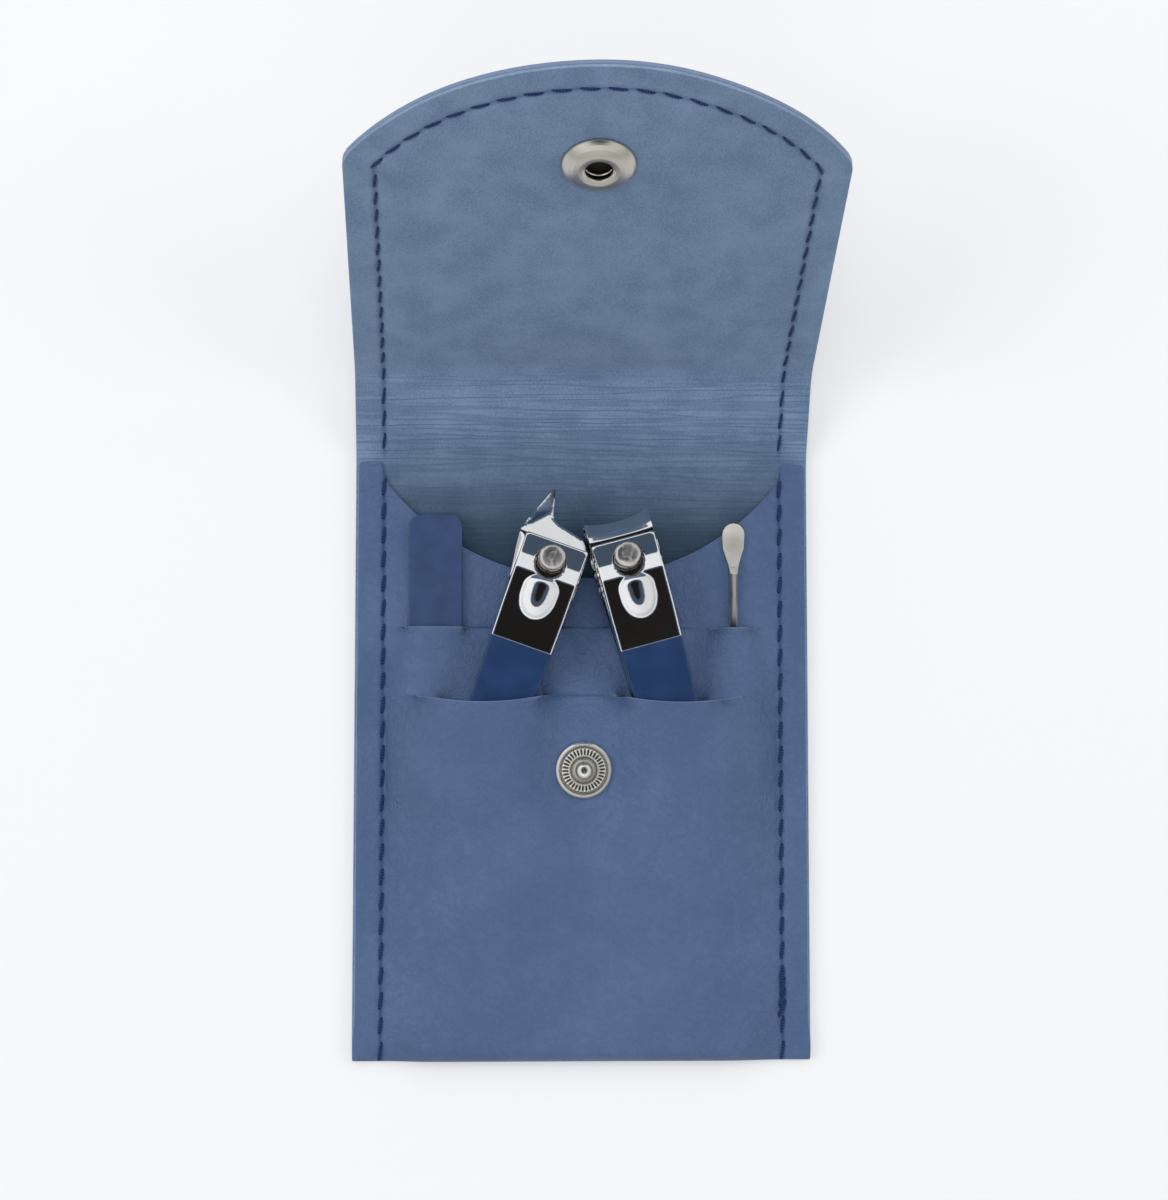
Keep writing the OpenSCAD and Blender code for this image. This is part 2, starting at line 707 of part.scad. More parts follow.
// A leaf slopes down to its lip, and from there to its blade. The slanted jaw's blade is a thin flat plate
module leaf_side(slanted) {
    nose = slanted ? slant_l : jaw_l;
    lip = slanted ? 7 : jaw_l - 2.1;
    slope_l = slanted ? 3.4 : 0.9;
    lip_w = 2 * meet_w - (slanted ? 1.4 : 0.65);
    inner_w = 2 * meet_w - leaf_t - 0.3;
    edge_w = meet_w + jaw_gap / 2;
    inside = slanted ?
        [[lip - 1.7, inner_w], [lip + 0.7, edge_w]] :
        [[lip - 1.4, inner_w], [nose - 0.7, edge_w]];
    blade = slanted ? [[nose, edge_w + 0.35], [lip + 0.6, edge_w + 0.7]] : [[nose, edge_w + 0.12]];
    side_cut(
        concat(
            [[-tail_l, meet_w + leaf_seam / 2]],
            [for (u = leaf_stations) [u, meet_w + leaf_seam / 2 + leaf_bow - leaf_under(u)]],
            inside,
            [[nose, edge_w]],
            blade,
            [[lip, lip_w], [lip - slope_l, 2 * meet_w - 0.25], [-0.5, 2 * meet_w]],
            [for (k = [13 : -1 : 0]) let (u = leaf_stations[k])
                [u, meet_w + leaf_t + leaf_bow - leaf_under(u)]],
            [[-tail_l, meet_w + leaf_t]]
        ),
        2 * clipper_w
    );
}

// Plan of a leaf without its jaw: a long taper with a round tail
function leaf_tail_plan() =
    let (r = tail_w / 2)
    [for (k = [0 : 12]) let (a = 180 + 180 * k / 12) [r * cos(a), -tail_l + r + r * sin(a)]];

module curved_jaw_plan() {
    half = clipper_w / 2;
    sag = 0.9;
    arc = [for (k = [0 : 10]) let (t = 1 - k / 5) [half * 0.97 * t, jaw_l - sag * (1 - t * t)]];
    polygon(concat(leaf_tail_plan(), [[half, -6], [half, jaw_l - 2.2]], arc, [[-half, jaw_l - 2.2], [-half, -6]]));
}

// Plan of the slanted jaw: a round shoulder, and a curve that runs up into the blade's straight back
slant_point = [-3.1, slant_l];
slant_root = [-clipper_w / 2 - 0.65, 2];
slant_bevel_angle = 38;
module slanted_jaw_plan() {
    half = clipper_w / 2;
    shoulder = [4, 4.7];
    curve_start = [0.2, 5.5];
    corner = [-2.5, 6];
    blade_root = [-2.75, 8.2];
    back = [for (k = [0 : 8]) let (t = k / 8)
        (1 - t) * (1 - t) * curve_start + 2 * t * (1 - t) * corner + t * t * blade_root];
    polygon(concat(
        leaf_tail_plan(), [[half, -6], [half - 0.1, 1.5], [half - 0.7, 3.2], shoulder], back,
        [slant_point + [0.15, 0], slant_point, slant_root, [-half, -3]]
    ));
}

// The slanted jaw is ground away outside a plane that rises from its edge
module slant_bevel() {
    edge_turn = atan2(slant_point[0] - slant_root[0], slant_point[1] - slant_root[1]);
    translate([slant_root[0], slant_root[1], meet_w + jaw_gap / 2 + 0.15])
        rotate([0, 0, -edge_turn])
            rotate([0, -slant_bevel_angle, 0])
                translate([-12, -14, 0])
                    cube([12, 34, 8]);
}

// A leaf before it is drilled: its side profile cut to its plan
module leaf_blank(slanted) {
    difference() {
        intersection() {
            leaf_side(slanted);
            linear_extrude(3 * meet_w)
                if (slanted)
                    slanted_jaw_plan();
                else
                    curved_jaw_plan();
        }
        if (slanted)
            slant_bevel();
    }
}

module upper_leaf(slanted) {
    difference() {
        leaf_blank(slanted);
        translate([0, 0, meet_w])
            cylinder(h = 2 * meet_w, d = post_d + 2 * pin_gap + 0.2);
        translate([0, -tail_l + contact_l / 2, 0])
            cylinder(h = 3 * meet_w, d = rivet_d + 2 * pin_gap);
    }
}

module lower_leaf(slanted) {
    difference() {
        translate([0, 0, 2 * meet_w])
            mirror([0, 0, 1])
                leaf_blank(slanted);
        translate([0, 0, -1])
            cylinder(h = meet_w, d = post_d + 0.1);
        translate([0, -tail_l + contact_l / 2, 0])
            cylinder(h = 3 * meet_w, d = rivet_d + 0.1);
    }
}

rivet_d = 2.2;
rivet_head_d = 3.6;
rivet_head_t = 0.3;
foot_t = 0.8;

module tail_rivet() {
    play = 0.3;
    color(chrome)
        translate([0, -tail_l + contact_l / 2, 0]) {
            translate([0, 0, leaf_bow - rivet_head_t])
                cylinder(h = rivet_head_t, d = rivet_head_d);
            translate([0, 0, leaf_bow - 0.05])
                cylinder(h = 2 * leaf_t + play + 0.1, d = rivet_d);
            translate([0, 0, leaf_bow + 2 * leaf_t + play])
                cylinder(h = rivet_head_t, d = rivet_head_d);
        }
}

// Post: a wide foot, a shaft through both leaves, a neck for the lever and a domed head
module clipper_post() {
    r = post_d / 2;
    neck = r - 0.35;
    head = post_head_d / 2;
    neck_low = 2 * meet_w - 0.15;
    head_low = lever_rest_w + lever_t + 0.1;
    color(chrome)
        rotate_extrude()
            polygon(concat(
                [[0, -foot_t], [2, -foot_t], [2.3, -foot_t + 0.3], [2.3, 0], [r, 0], [r, neck_low]],
                [[neck, neck_low + 0.3], [neck, head_low]],
                [for (k = [0 : 6]) [head * cos(15 * k), head_low + 0.25 + 1.0 * sin(15 * k)]]
            ));
}

// Lever: a bent plate with a keyhole round the post's neck and a raised bullet behind it
module lever() {
    half = lever_w / 2;
    front = 2.9;
    crease_w = lever_under(-lever_crease);
    tail_round = half - 0.6;
    bump_l = 7.6;
    bump_h = 1.3;
    bump_half = 3.1;
    bump_r = (bump_half * bump_half + bump_h * bump_h) / (2 * bump_h);
    plan = concat(
        [for (k = [0 : 12]) let (a = 180 + 180 * k / 12)
            [tail_round * cos(a), -tail_l + tail_round + tail_round * sin(a)]],
        [[half, -lever_crease - 6], [half, front - 0.3], [half - 0.3, front], [-half + 0.3, front]],
        [[-half, front - 0.3], [-half, -lever_crease - 6]]
    );
    color(chrome) {
        difference() {
            intersection() {
                side_cut([
                    [-tail_l - 1, lever_under(-tail_l - 1)],
                    [-lever_crease, crease_w],
                    [front + 1, lever_under(front + 1)],
                    [front + 1, lever_under(front + 1) + lever_t],
                    [-lever_crease, crease_w + lever_t],
                    [-tail_l - 1, lever_under(-tail_l - 1) + lever_t]
                ], 2 * lever_w);
                linear_extrude(3 * meet_w + 5)
                    polygon(plan);
            }
            translate([0, 0, meet_w])
                cylinder(h = 3 * meet_w, d = post_d - 0.7 + 2 * pin_gap);
            translate([0, -keyhole_back, meet_w])
                cylinder(h = 3 * meet_w, r = keyhole_r);
        }
        intersection() {
            translate([0, -lever_crease - 0.1, crease_w + lever_t + bump_h - bump_r])
                rotate([90, 0, 0])
                    rotate_extrude()
                        polygon(concat(
                            [[0, 0]],
                            [for (k = [0 : 8]) let (t = k / 8)
                                [bump_r - (bump_h + 0.4) * (1 - sqrt(1 - t * t * 0.98)), bump_l * t]],
                            [[0, bump_l]]
                        ));
            translate([-half, -lever_crease - bump_l - 1, crease_w + lever_t - 0.55])
                cube([2 * half, bump_l + 1, bump_h + 1]);
        }
    }
}

module nail_file() {
    r = 2.4;
    half = file_w / 2;
    tip = 3.4;
    handle_end = [for (k = [0 : 6]) let (a = 15 * k) [half - r + r * cos(a), -r + r * sin(a)]];
    handle_far = [for (k = [0 : 6]) let (a = 90 + 15 * k) [r - half + r * cos(a), -r + r * sin(a)]];
    tip_end = [for (k = [0 : 12]) let (a = 180 + 15 * k) [tip * cos(a), -file_l + tip + tip * sin(a)]];
    color(paint_navy)
        translate([file_x, small_slit_y + file_past_slit, file_under_z(small_slit_y + file_past_slit)])
            rotate([file_tilt, 0, 0]) {
                linear_extrude(file_t)
                    polygon(concat(handle_end, handle_far, [[-half, -file_handle_l]], tip_end, [[half, -file_handle_l]]));
            }
}

module ear_pick() {
    r = pick_d / 2;
    bowl_r = 10;
    bowl_t = 0.5;
    plan = concat(
        [for (k = [0 : 8]) let (a = 22.5 * k)
            [spoon_w / 2 * cos(a), -spoon_w / 2 + spoon_w / 2 * sin(a)]],
        [[-spoon_w / 2 * 0.95, -spoon_l * 0.5], [-r * 1.3, -spoon_l * 0.85], [-r * 0.9, -spoon_l - 0.4]],
        [[r * 0.9, -spoon_l - 0.4], [r * 1.3, -spoon_l * 0.85], [spoon_w / 2 * 0.95, -spoon_l * 0.5]]
    );
    color(steel)
        translate([pick_x, small_slit_y + pick_past_slit, pick_under_z(small_slit_y + pick_past_slit)])
            rotate([pick_tilt, 0, 0])
                union() {
                    translate([0, -spoon_l + 0.8, r])
                        rotate([90, 0, 0])
                            cylinder(h = pick_l - spoon_l + 0.8 - r, r = r, $fn = 32);
                    translate([0, -pick_l + r, r])
                        sphere(r = r, $fn = 32);
                    intersection() {
                        linear_extrude(3)
                            polygon(plan);
                        translate([0, -spoon_l * 0.47, bowl_r])
                            difference() {
                                sphere(r = bowl_r, $fn = 96);
                                sphere(r = bowl_r - bowl_t, $fn = 96);
                            }
                    }
                }
}

back_panel();
pocket_lining();
front_panel();
side_stitching(-1);  // left_side_stitching
side_stitching(1);  // right_side_stitching
snap_stud();
snap_stud_eyelet();
spine_leather();
spine_lining();
spine_stitching();
flap_leather();
flap_lining();
flap_stitching();
snap_cap();
snap_socket();
snap_socket_spring();
color(chrome) at_left_clipper() lower_leaf(true);  // left_lower_leaf
color(chrome) at_left_clipper() upper_leaf(true);  // left_upper_leaf
at_left_clipper() lever();  // left_lever
at_left_clipper() clipper_post();  // left_post
at_left_clipper() tail_rivet();  // left_tail_rivet
color(chrome) at_right_clipper() lower_leaf(false);  // right_lower_leaf
color(chrome) at_right_clipper() upper_leaf(false);  // right_upper_leaf
at_right_clipper() lever();  // right_lever
at_right_clipper() clipper_post();  // right_post
at_right_clipper() tail_rivet();  // right_tail_rivet
nail_file();
ear_pick();
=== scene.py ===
# %% [markdown]
# # A pocket manicure case
# The case is a blue leather pouch that lies on its back with the flap raised. Four tools stand in slits of its
# front panel. The imported model gives every piece its place, so it is loaded first and never moved. The dressed
# model has to stay inside it.

import json
import math

import bpy
import numpy as np
from mathutils import Matrix, Vector

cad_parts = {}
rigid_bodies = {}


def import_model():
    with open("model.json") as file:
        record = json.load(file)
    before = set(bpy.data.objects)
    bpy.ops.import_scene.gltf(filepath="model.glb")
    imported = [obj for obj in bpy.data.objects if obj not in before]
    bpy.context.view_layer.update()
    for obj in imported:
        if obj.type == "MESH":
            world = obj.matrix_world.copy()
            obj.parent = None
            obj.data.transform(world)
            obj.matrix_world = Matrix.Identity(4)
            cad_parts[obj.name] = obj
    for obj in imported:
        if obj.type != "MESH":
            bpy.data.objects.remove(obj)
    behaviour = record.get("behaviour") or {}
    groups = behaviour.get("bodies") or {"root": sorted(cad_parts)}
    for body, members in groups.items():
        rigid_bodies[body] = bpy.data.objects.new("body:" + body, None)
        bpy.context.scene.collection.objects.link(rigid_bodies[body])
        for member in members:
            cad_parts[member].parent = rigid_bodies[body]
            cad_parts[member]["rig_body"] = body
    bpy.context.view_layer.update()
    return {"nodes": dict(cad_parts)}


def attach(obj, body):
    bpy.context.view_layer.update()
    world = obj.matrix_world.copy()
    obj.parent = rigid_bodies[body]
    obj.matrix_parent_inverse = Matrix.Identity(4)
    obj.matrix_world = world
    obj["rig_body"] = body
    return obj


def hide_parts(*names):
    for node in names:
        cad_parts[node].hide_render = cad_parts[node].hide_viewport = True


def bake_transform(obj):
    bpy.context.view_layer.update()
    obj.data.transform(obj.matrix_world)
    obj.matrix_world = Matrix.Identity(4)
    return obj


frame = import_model()
MM = 0.001

# %% [markdown]
# ## Camera
# The photograph was taken from almost straight above the pouch, so that the flap, which stands up, flares towards
# the lens. A camera fitted to the pouch's corners and creases gives its place, its aim and its field of view.

# %% Camera
IMAGE_W, IMAGE_H = 1168, 1200
FOCAL_PX = 2534.7
SENSOR_MM = 36.0
camera_place = Vector((-20.0, -12.06, 450.0)) * MM
camera_aim = Vector((0.42, 28.03, 0.0)) * MM

camera_data = bpy.data.cameras.new("camera")
camera_data.sensor_fit = "HORIZONTAL"
camera_data.sensor_width = SENSOR_MM
camera_data.lens = FOCAL_PX * SENSOR_MM / IMAGE_W
camera_data.clip_start = 0.01
camera_data.clip_end = 20.0
camera = bpy.data.objects.new("camera", camera_data)
bpy.context.scene.collection.objects.link(camera)
camera.location = camera_place
sight = (camera_aim - camera_place).normalized()
to_right = sight.cross(Vector((0, 1, 0))).normalized()
camera.rotation_mode = "QUATERNION"
camera.rotation_quaternion = Matrix((to_right, to_right.cross(sight), -sight)).transposed().to_quaternion()
bpy.context.scene.camera = camera
print(f"lens {camera_data.lens:.2f} mm")

# %% [markdown]
# ## Node helpers
# Every material here is a small network of nodes. These few functions add a node, join two sockets and start a
# group with named inputs and outputs, so that the materials below read as recipes.


# %% Node helpers
def add_node(tree, kind, **settings):
    """Adds a node of that kind and sets its properties. A name that starts with in_ sets an input's value."""
    made = tree.nodes.new(kind)
    for key, value in settings.items():
        if key.startswith("in_"):
            made.inputs[key[3:].replace("_", " ")].default_value = value
        else:
            setattr(made, key, value)
    return made


def join(tree, source, target):
    tree.links.new(source, target)
    return target


def math_node(tree, operation, first, second=None, third=None, clamp=False):
    """One step of arithmetic. Each operand is a number or a socket."""
    made = tree.nodes.new("ShaderNodeMath")
    made.operation = operation
    made.use_clamp = clamp
    for slot, value in zip(made.inputs, (first, second, third)):
        if value is None:
            continue
        if isinstance(value, (int, float)):
            slot.default_value = value
        else:
            tree.links.new(value, slot)
    return made.outputs[0]


def ramp(tree, value, low, high, out_low=0.0, out_high=1.0, smooth=True):
    """Maps a value between low and high onto out_low to out_high, clamped."""
    made = tree.nodes.new("ShaderNodeMapRange")
    made.interpolation_type = "SMOOTHSTEP" if smooth else "LINEAR"
    made.clamp = True
    tree.links.new(value, made.inputs["Value"])
    for name, number in (("From Min", low), ("From Max", high), ("To Min", out_low), ("To Max", out_high)):
        made.inputs[name].default_value = number
    return made.outputs["Result"]


def mix_colour(tree, factor, first, second, blend="MIX"):
    """Mixes two colours. Each operand is a socket or an RGB triple."""
    made = tree.nodes.new("ShaderNodeMix")
    made.data_type = "RGBA"
    made.blend_type = blend
    made.clamp_factor = True
    for slot, value in ((made.inputs[0], factor), (made.inputs[6], first), (made.inputs[7], second)):
        if isinstance(value, (int, float)):
            slot.default_value = value
        elif isinstance(value, tuple):
            slot.default_value = (*value, 1.0)
        else:
            tree.links.new(value, slot)
    return made.outputs[2]


def start_group(name, inputs, outputs):
    """A node group with named sockets. inputs is a list of (name, socket type, default), outputs of (name, type)."""
    group = bpy.data.node_groups.new(name, "ShaderNodeTree")
    for label, kind, default in inputs:
        made = group.interface.new_socket(name=label, in_out="INPUT", socket_type=kind)
        if default is not None:
            made.default_value = default
    for label, kind in outputs:
        group.interface.new_socket(name=label, in_out="OUTPUT", socket_type=kind)
    entry = group.nodes.new("NodeGroupInput")
    leave = group.nodes.new("NodeGroupOutput")
    return group, entry.outputs, leave.inputs


def start_material(name):
    """An empty material with a Principled shader. Returns the material, its tree and the shader."""
    material = bpy.data.materials.new(name)
    material.use_nodes = True
    tree = material.node_tree
    tree.nodes.clear()
    shader = tree.nodes.new("ShaderNodeBsdfPrincipled")
    out = tree.nodes.new("ShaderNodeOutputMaterial")
    tree.links.new(shader.outputs[0], out.inputs["Surface"])
    return material, tree, shader


def use_group(tree, group, **values):
    made = tree.nodes.new("ShaderNodeGroup")
    made.node_tree = group
    for key, value in values.items():
        slot = made.inputs[key.replace("_", " ")]
        if isinstance(value, tuple) and len(value) == 3 and slot.type == "RGBA":
            slot.default_value = (*value, 1.0)
        else:
            slot.default_value = value
    return made


def object_place(tree):
    return tree.nodes.new("ShaderNodeTexCoord").outputs["Object"]


# %% [markdown]
# ## Stage and light
# The photograph's light is broad and soft, with a white floor and a faint shadow. Polished steel shows what is
# around it: its flat plates are black because they face the dark space round the lens, and its slopes are white
# because they face the bright surroundings. So for reflections only, the world is dark overhead, blue-grey
# round that, as the photographer's clothes and the room are, and white low down.

# %% Stage and light
FLOOR_SIDE = 6.0
WORLD_LIGHT = 0.36
WHITE_SEEN, LOW_SEEN = 1.2, 0.5
FLOOR_GLOW = 0.3
FLOOR_FADE = (0.07, 0.45)
BAND_LOW_Z, CAP_LOW_Z = 0.892, 0.966
BAND_COLOUR, CAP_COLOUR = (0.075, 0.105, 0.15), (0.017, 0.015, 0.013)
scene = bpy.context.scene
scene.view_settings.view_transform = "Standard"


def make_world():
    """White for the camera, even light for matte surfaces, and for gloss a dark cap, a blue-grey band and white."""
    world = bpy.data.worlds.new("studio")
    world.use_nodes = True
    tree = world.node_tree
    tree.nodes.clear()
    path = tree.nodes.new("ShaderNodeLightPath")
    direction = tree.nodes.new("ShaderNodeTexCoord").outputs["Generated"]
    parts = add_node(tree, "ShaderNodeSeparateXYZ")
    join(tree, direction, parts.inputs[0])
    band = ramp(tree, parts.outputs["Z"], BAND_LOW_Z - 0.012, BAND_LOW_Z + 0.012)
    cap = ramp(tree, parts.outputs["Z"], CAP_LOW_Z - 0.003, CAP_LOW_Z + 0.005)
    lower = ramp(tree, parts.outputs["Z"], 0.05, 0.6)
    white = mix_colour(tree, lower, (LOW_SEEN,) * 3, (WHITE_SEEN,) * 3)
    white = mix_colour(tree, ramp(tree, parts.outputs["X"], -0.5, 0.7, 0.0, 0.35), white, (LOW_SEEN,) * 3)
    around = mix_colour(tree, cap, mix_colour(tree, band, white, BAND_COLOUR), CAP_COLOUR)
    seen = math_node(tree, "MAXIMUM", path.outputs["Is Camera Ray"], path.outputs["Is Transmission Ray"])
    gloss = add_node(tree, "ShaderNodeBackground", in_Strength=1.0)
    join(tree, around, gloss.inputs["Color"])
    even = add_node(tree, "ShaderNodeBackground", in_Color=(1, 1, 1, 1), in_Strength=WORLD_LIGHT)
    plain = add_node(tree, "ShaderNodeBackground", in_Color=(1, 1, 1, 1), in_Strength=1.0)
    first = tree.nodes.new("ShaderNodeMixShader")
    second = tree.nodes.new("ShaderNodeMixShader")
    out = tree.nodes.new("ShaderNodeOutputWorld")
    join(tree, path.outputs["Is Glossy Ray"], first.inputs[0])
    join(tree, even.outputs[0], first.inputs[1])
    join(tree, gloss.outputs[0], first.inputs[2])
    join(tree, seen, second.inputs[0])
    join(tree, first.outputs[0], second.inputs[1])
    join(tree, plain.outputs[0], second.inputs[2])
    join(tree, second.outputs[0], out.inputs["Surface"])
    scene.world = world


def make_floor():
    """A white floor that keeps the case's shadow. What the camera and gloss see of it fades to plain white."""
    half = FLOOR_SIDE / 2
    mesh = bpy.data.meshes.new("floor")
    mesh.from_pydata([(-half, -half, 0), (half, -half, 0), (half, half, 0), (-half, half, 0)], [], [(0, 1, 2, 3)])
    floor = bpy.data.objects.new("floor", mesh)
    scene.collection.objects.link(floor)
    material = bpy.data.materials.new("floor_white")
    material.use_nodes = True
    tree = material.node_tree
    tree.nodes.clear()
    path = tree.nodes.new("ShaderNodeLightPath")
    matte = add_node(tree, "ShaderNodeBsdfDiffuse", in_Color=(0.80, 0.81, 0.83, 1))
    glow = add_node(tree, "ShaderNodeEmission", in_Color=(1, 1, 1, 1), in_Strength=1.0)
    mix = tree.nodes.new("ShaderNodeMixShader")
    out = tree.nodes.new("ShaderNodeOutputMaterial")
    seen = math_node(tree, "MAXIMUM", path.outputs["Is Camera Ray"], path.outputs["Is Glossy Ray"])
    seen = math_node(tree, "MAXIMUM", seen, path.outputs["Is Transmission Ray"])
    far = add_node(tree, "ShaderNodeVectorMath", operation="LENGTH")
    join(tree, object_place(tree), far.inputs[0])
    glow_share = ramp(tree, far.outputs["Value"], *FLOOR_FADE, FLOOR_GLOW, 1.0)
    share = math_node(tree, "MULTIPLY", seen, glow_share)
    join(tree, share, mix.inputs[0])
    join(tree, matte.outputs[0], mix.inputs[1])
    join(tree, glow.outputs[0], mix.inputs[2])
    join(tree, mix.outputs[0], out.inputs["Surface"])
    mesh.materials.append(material)


def make_lamp(name, place, aim, side, watts):
    data = bpy.data.lights.new(name, "AREA")
    data.shape = "SQUARE"
    data.size = side
    data.energy = watts
    lamp = bpy.data.objects.new(name, data)
    scene.collection.objects.link(lamp)
    lamp.location = place
    lamp.rotation_mode = "QUATERNION"
    lamp.rotation_quaternion = (Vector(aim) - Vector(place)).to_track_quat("-Z", "Y")
    lamp.visible_glossy = False


make_world()
make_floor()
make_lamp("key_left", (-0.75, 0.1, 0.8), (0, 0.03, 0.02), 0.6, 4.2)
make_lamp("fill_right", (0.8, 0.2, 0.75), (0, 0.03, 0.02), 0.6, 3.0)
make_lamp("back_top", (0.0, 0.75, 0.8), (0, 0.04, 0.02), 0.5, 1.2)
make_lamp("overhead", (-0.02, 0.1, 1.1), (0, 0.03, 0.02), 0.5, 3.4)
make_lamp("front_low", (-0.1, -0.75, 0.7), (0, 0.05, 0.03), 0.5, 1.0)

# %% [markdown]
# ## Sizes
# These are the case's own sizes in millimetres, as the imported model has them. The leather strip runs from the
# pouch over two creases to the flap, so one profile carries the back, the spine and the flap.

# %% Sizes
POUCH_W, POUCH_L = 80.4, 106.0
LEATHER_T, LINING_T = 0.9, 0.6
LINING_TOP = LEATHER_T + LINING_T
TOP_Y, BOTTOM_Y = POUCH_L / 2, -POUCH_L / 2
FOLD_D = 3.0
FOLD_Y = BOTTOM_Y + FOLD_D
SEAM_INSET = 5.0
SEAM_X = POUCH_W / 2 - SEAM_INSET
SEAM_FLAT = SEAM_X - 1.0
FRONT_HALF_W = POUCH_W / 2 - 0.4
SPINE_L, FLAP_L = 16.5, 78.2
SPINE_ANGLE, FLAP_ANGLE = math.radians(31.0), math.radians(64.5)
FLAP_END_R, FLAP_CORNER_R = 48.1, 6.0
CREASE_HALF = 3.0
STITCH_PITCH, STITCH_L, THREAD_R = 4.3, 2.6, 0.3


def ease(t):
    """Rises from 0 to 1 as t does, with no slope at either end."""
    c = np.clip(t, 0.0, 1.0)
    return c * c * (3.0 - 2.0 * c)


def mix(a, b, t):
    return a + (b - a) * t


def soft_ramp(s):
    """0 before a crease and s after it, joined by a parabola: the strip's bend, averaged over the crease's width."""
    inside = (s + CREASE_HALF) ** 2 / (4.0 * CREASE_HALF)
    return np.where(s < -CREASE_HALF, 0.0, np.where(s > CREASE_HALF, s, inside))


def strip_profile(s):
    """Place (y, z) of the lining's face and its normal, at the distance s past the first crease."""
    step = 0.05
    y, z = strip_place(s)
    y_before, z_before = strip_place(s - step)
    y_after, z_after = strip_place(s + step)
    dy, dz = y_after - y_before, z_after - z_before
    length = np.hypot(dy, dz)
    return y, z, -dz / length, dy / length


def strip_place(s):
    """Place (y, z) of the lining's face at the distance s past the first crease."""
    first, second = soft_ramp(s), soft_ramp(s - SPINE_L)
    y = TOP_Y + s + (math.cos(SPINE_ANGLE) - 1) * first + (math.cos(FLAP_ANGLE) - math.cos(SPINE_ANGLE)) * second
    z = LINING_TOP + math.sin(SPINE_ANGLE) * first + (math.sin(FLAP_ANGLE) - math.sin(SPINE_ANGLE)) * second
    return y, z


def on_strip(x, s, height):
    """Point of the strip at x across, s along and height above the lining's face."""
    y, z, ny, nz = strip_profile(s)
    return np.stack(np.broadcast_arrays(x, y + ny * height, z + nz * height), axis=-1)


tip = on_strip(0.0, np.float64(SPINE_L + FLAP_L), 0.0)
print("flap tip in mm:", np.round(tip, 1))

# %% [markdown]
# ## Meshes from grids
# A sheet of leather is two grids of points, its face and its back, with a wall wherever an edge of the face has
# only one cell. Points that share an id are one point, which is how a slit ends inside the sheet.


# %% Meshes from grids
def link_mesh(name, points, faces, sharp_angle=40.0):
    """Makes a smooth-shaded object from points in millimetres and a list of face arrays."""
    mesh = bpy.data.meshes.new(name)
    sizes = np.concatenate([np.full(len(f), f.shape[1]) for f in faces])
    corners = np.concatenate([f.ravel() for f in faces])
    mesh.vertices.add(len(points))
    mesh.vertices.foreach_set("co", (np.asarray(points) * MM).astype(np.float32).ravel())
    mesh.loops.add(len(corners))
    mesh.loops.foreach_set("vertex_index", corners.astype(np.int32))
    mesh.polygons.add(len(sizes))
    starts = np.concatenate([[0], np.cumsum(sizes)[:-1]])
    mesh.polygons.foreach_set("loop_start", starts.astype(np.int32))
    mesh.polygons.foreach_set("use_smooth", np.ones(len(sizes), bool))
    mesh.update(calc_edges=True)
    mesh.validate()
    mesh.set_sharp_from_angle(angle=math.radians(sharp_angle))
    made = bpy.data.objects.new(name, mesh)
    scene.collection.objects.link(made)
    return made


def grid_cells(ids):
    """The cells of a grid of point ids, as quads that turn from the columns to the rows."""
    return np.stack([ids[:-1, :-1], ids[:-1, 1:], ids[1:, 1:], ids[1:, :-1]], axis=-1)


def sheet_faces(cells, count):
    """Face, back and walls of a sheet whose face has these quads. The back's ids follow the face's."""
    edges = np.concatenate([cells[:, [k, (k + 1) % 4]] for k in range(4)])
    keys = np.sort(edges, axis=1)
    _, first, seen = np.unique(keys, axis=0, return_index=True, return_counts=True)
    rim = edges[first[seen == 1]]
    rim = rim[rim[:, 0] != rim[:, 1]]
    walls = np.stack([rim[:, 1], rim[:, 0], rim[:, 0] + count, rim[:, 1] + count], axis=-1)
    return [cells, cells[:, ::-1] + count, walls]


def add_float(made, name, values):
    attribute = made.data.attributes.new(name, "FLOAT", "POINT")
    attribute.data.foreach_set("value", np.asarray(values, np.float32).ravel())


def make_sheet(name, face, back, border, ids=None, skip_rows=(), keep=None, marks=None):
    """A closed sheet from two grids. border is each point's distance to the cut edge, kept for the material.

    skip_rows are the rows of cells left open, keep a mask of the cells to keep, and marks more attributes.
    """
    rows, columns = face.shape[:2]
    count = rows * columns
    if ids is None:
        ids = np.arange(count).reshape(rows, columns)
    kept = np.ones((rows - 1, columns - 1), bool) if keep is None else keep.copy()
    kept[list(skip_rows)] = False
    cells = grid_cells(ids)[kept]
    points = np.concatenate([face.reshape(-1, 3), back.reshape(-1, 3)])
    made = link_mesh(name, points, sheet_faces(cells, count))
    add_float(made, "border", np.concatenate([border.ravel(), np.zeros(count)]))
    for label, values in (marks or {}).items():
        values = np.broadcast_to(values, border.shape).ravel()
        add_float(made, label, np.concatenate([values, values]))
    drop_loose(made)
    print(f"{name}: {len(made.data.polygons)} faces")
    return made


def drop_loose(made):
    """Removes points that no face uses, such as the doubled ones beside a slit's end."""
    used = np.zeros(len(made.data.loops), np.int32)
    made.data.loops.foreach_get("vertex_index", used)
    if len(np.unique(used)) == len(made.data.vertices):
        return
    import bmesh
    bm = bmesh.new()
    bm.from_mesh(made.data)
    bmesh.ops.delete(bm, geom=[v for v in bm.verts if not v.link_faces], context="VERTS")
    bm.to_mesh(made.data)
    bm.free()


EDGE_R = 0.3
EDGE_STEPS = np.array([0.0, 0.05, 0.14, EDGE_R])


def edge_fullness(border):
    """How much of its thickness a sheet has at that distance from its cut edge: a quarter ellipse."""
    t = np.clip(border / EDGE_R, 0.0, 1.0)
    return 0.5 + 0.5 * np.sqrt(1.0 - (1.0 - t) ** 2)


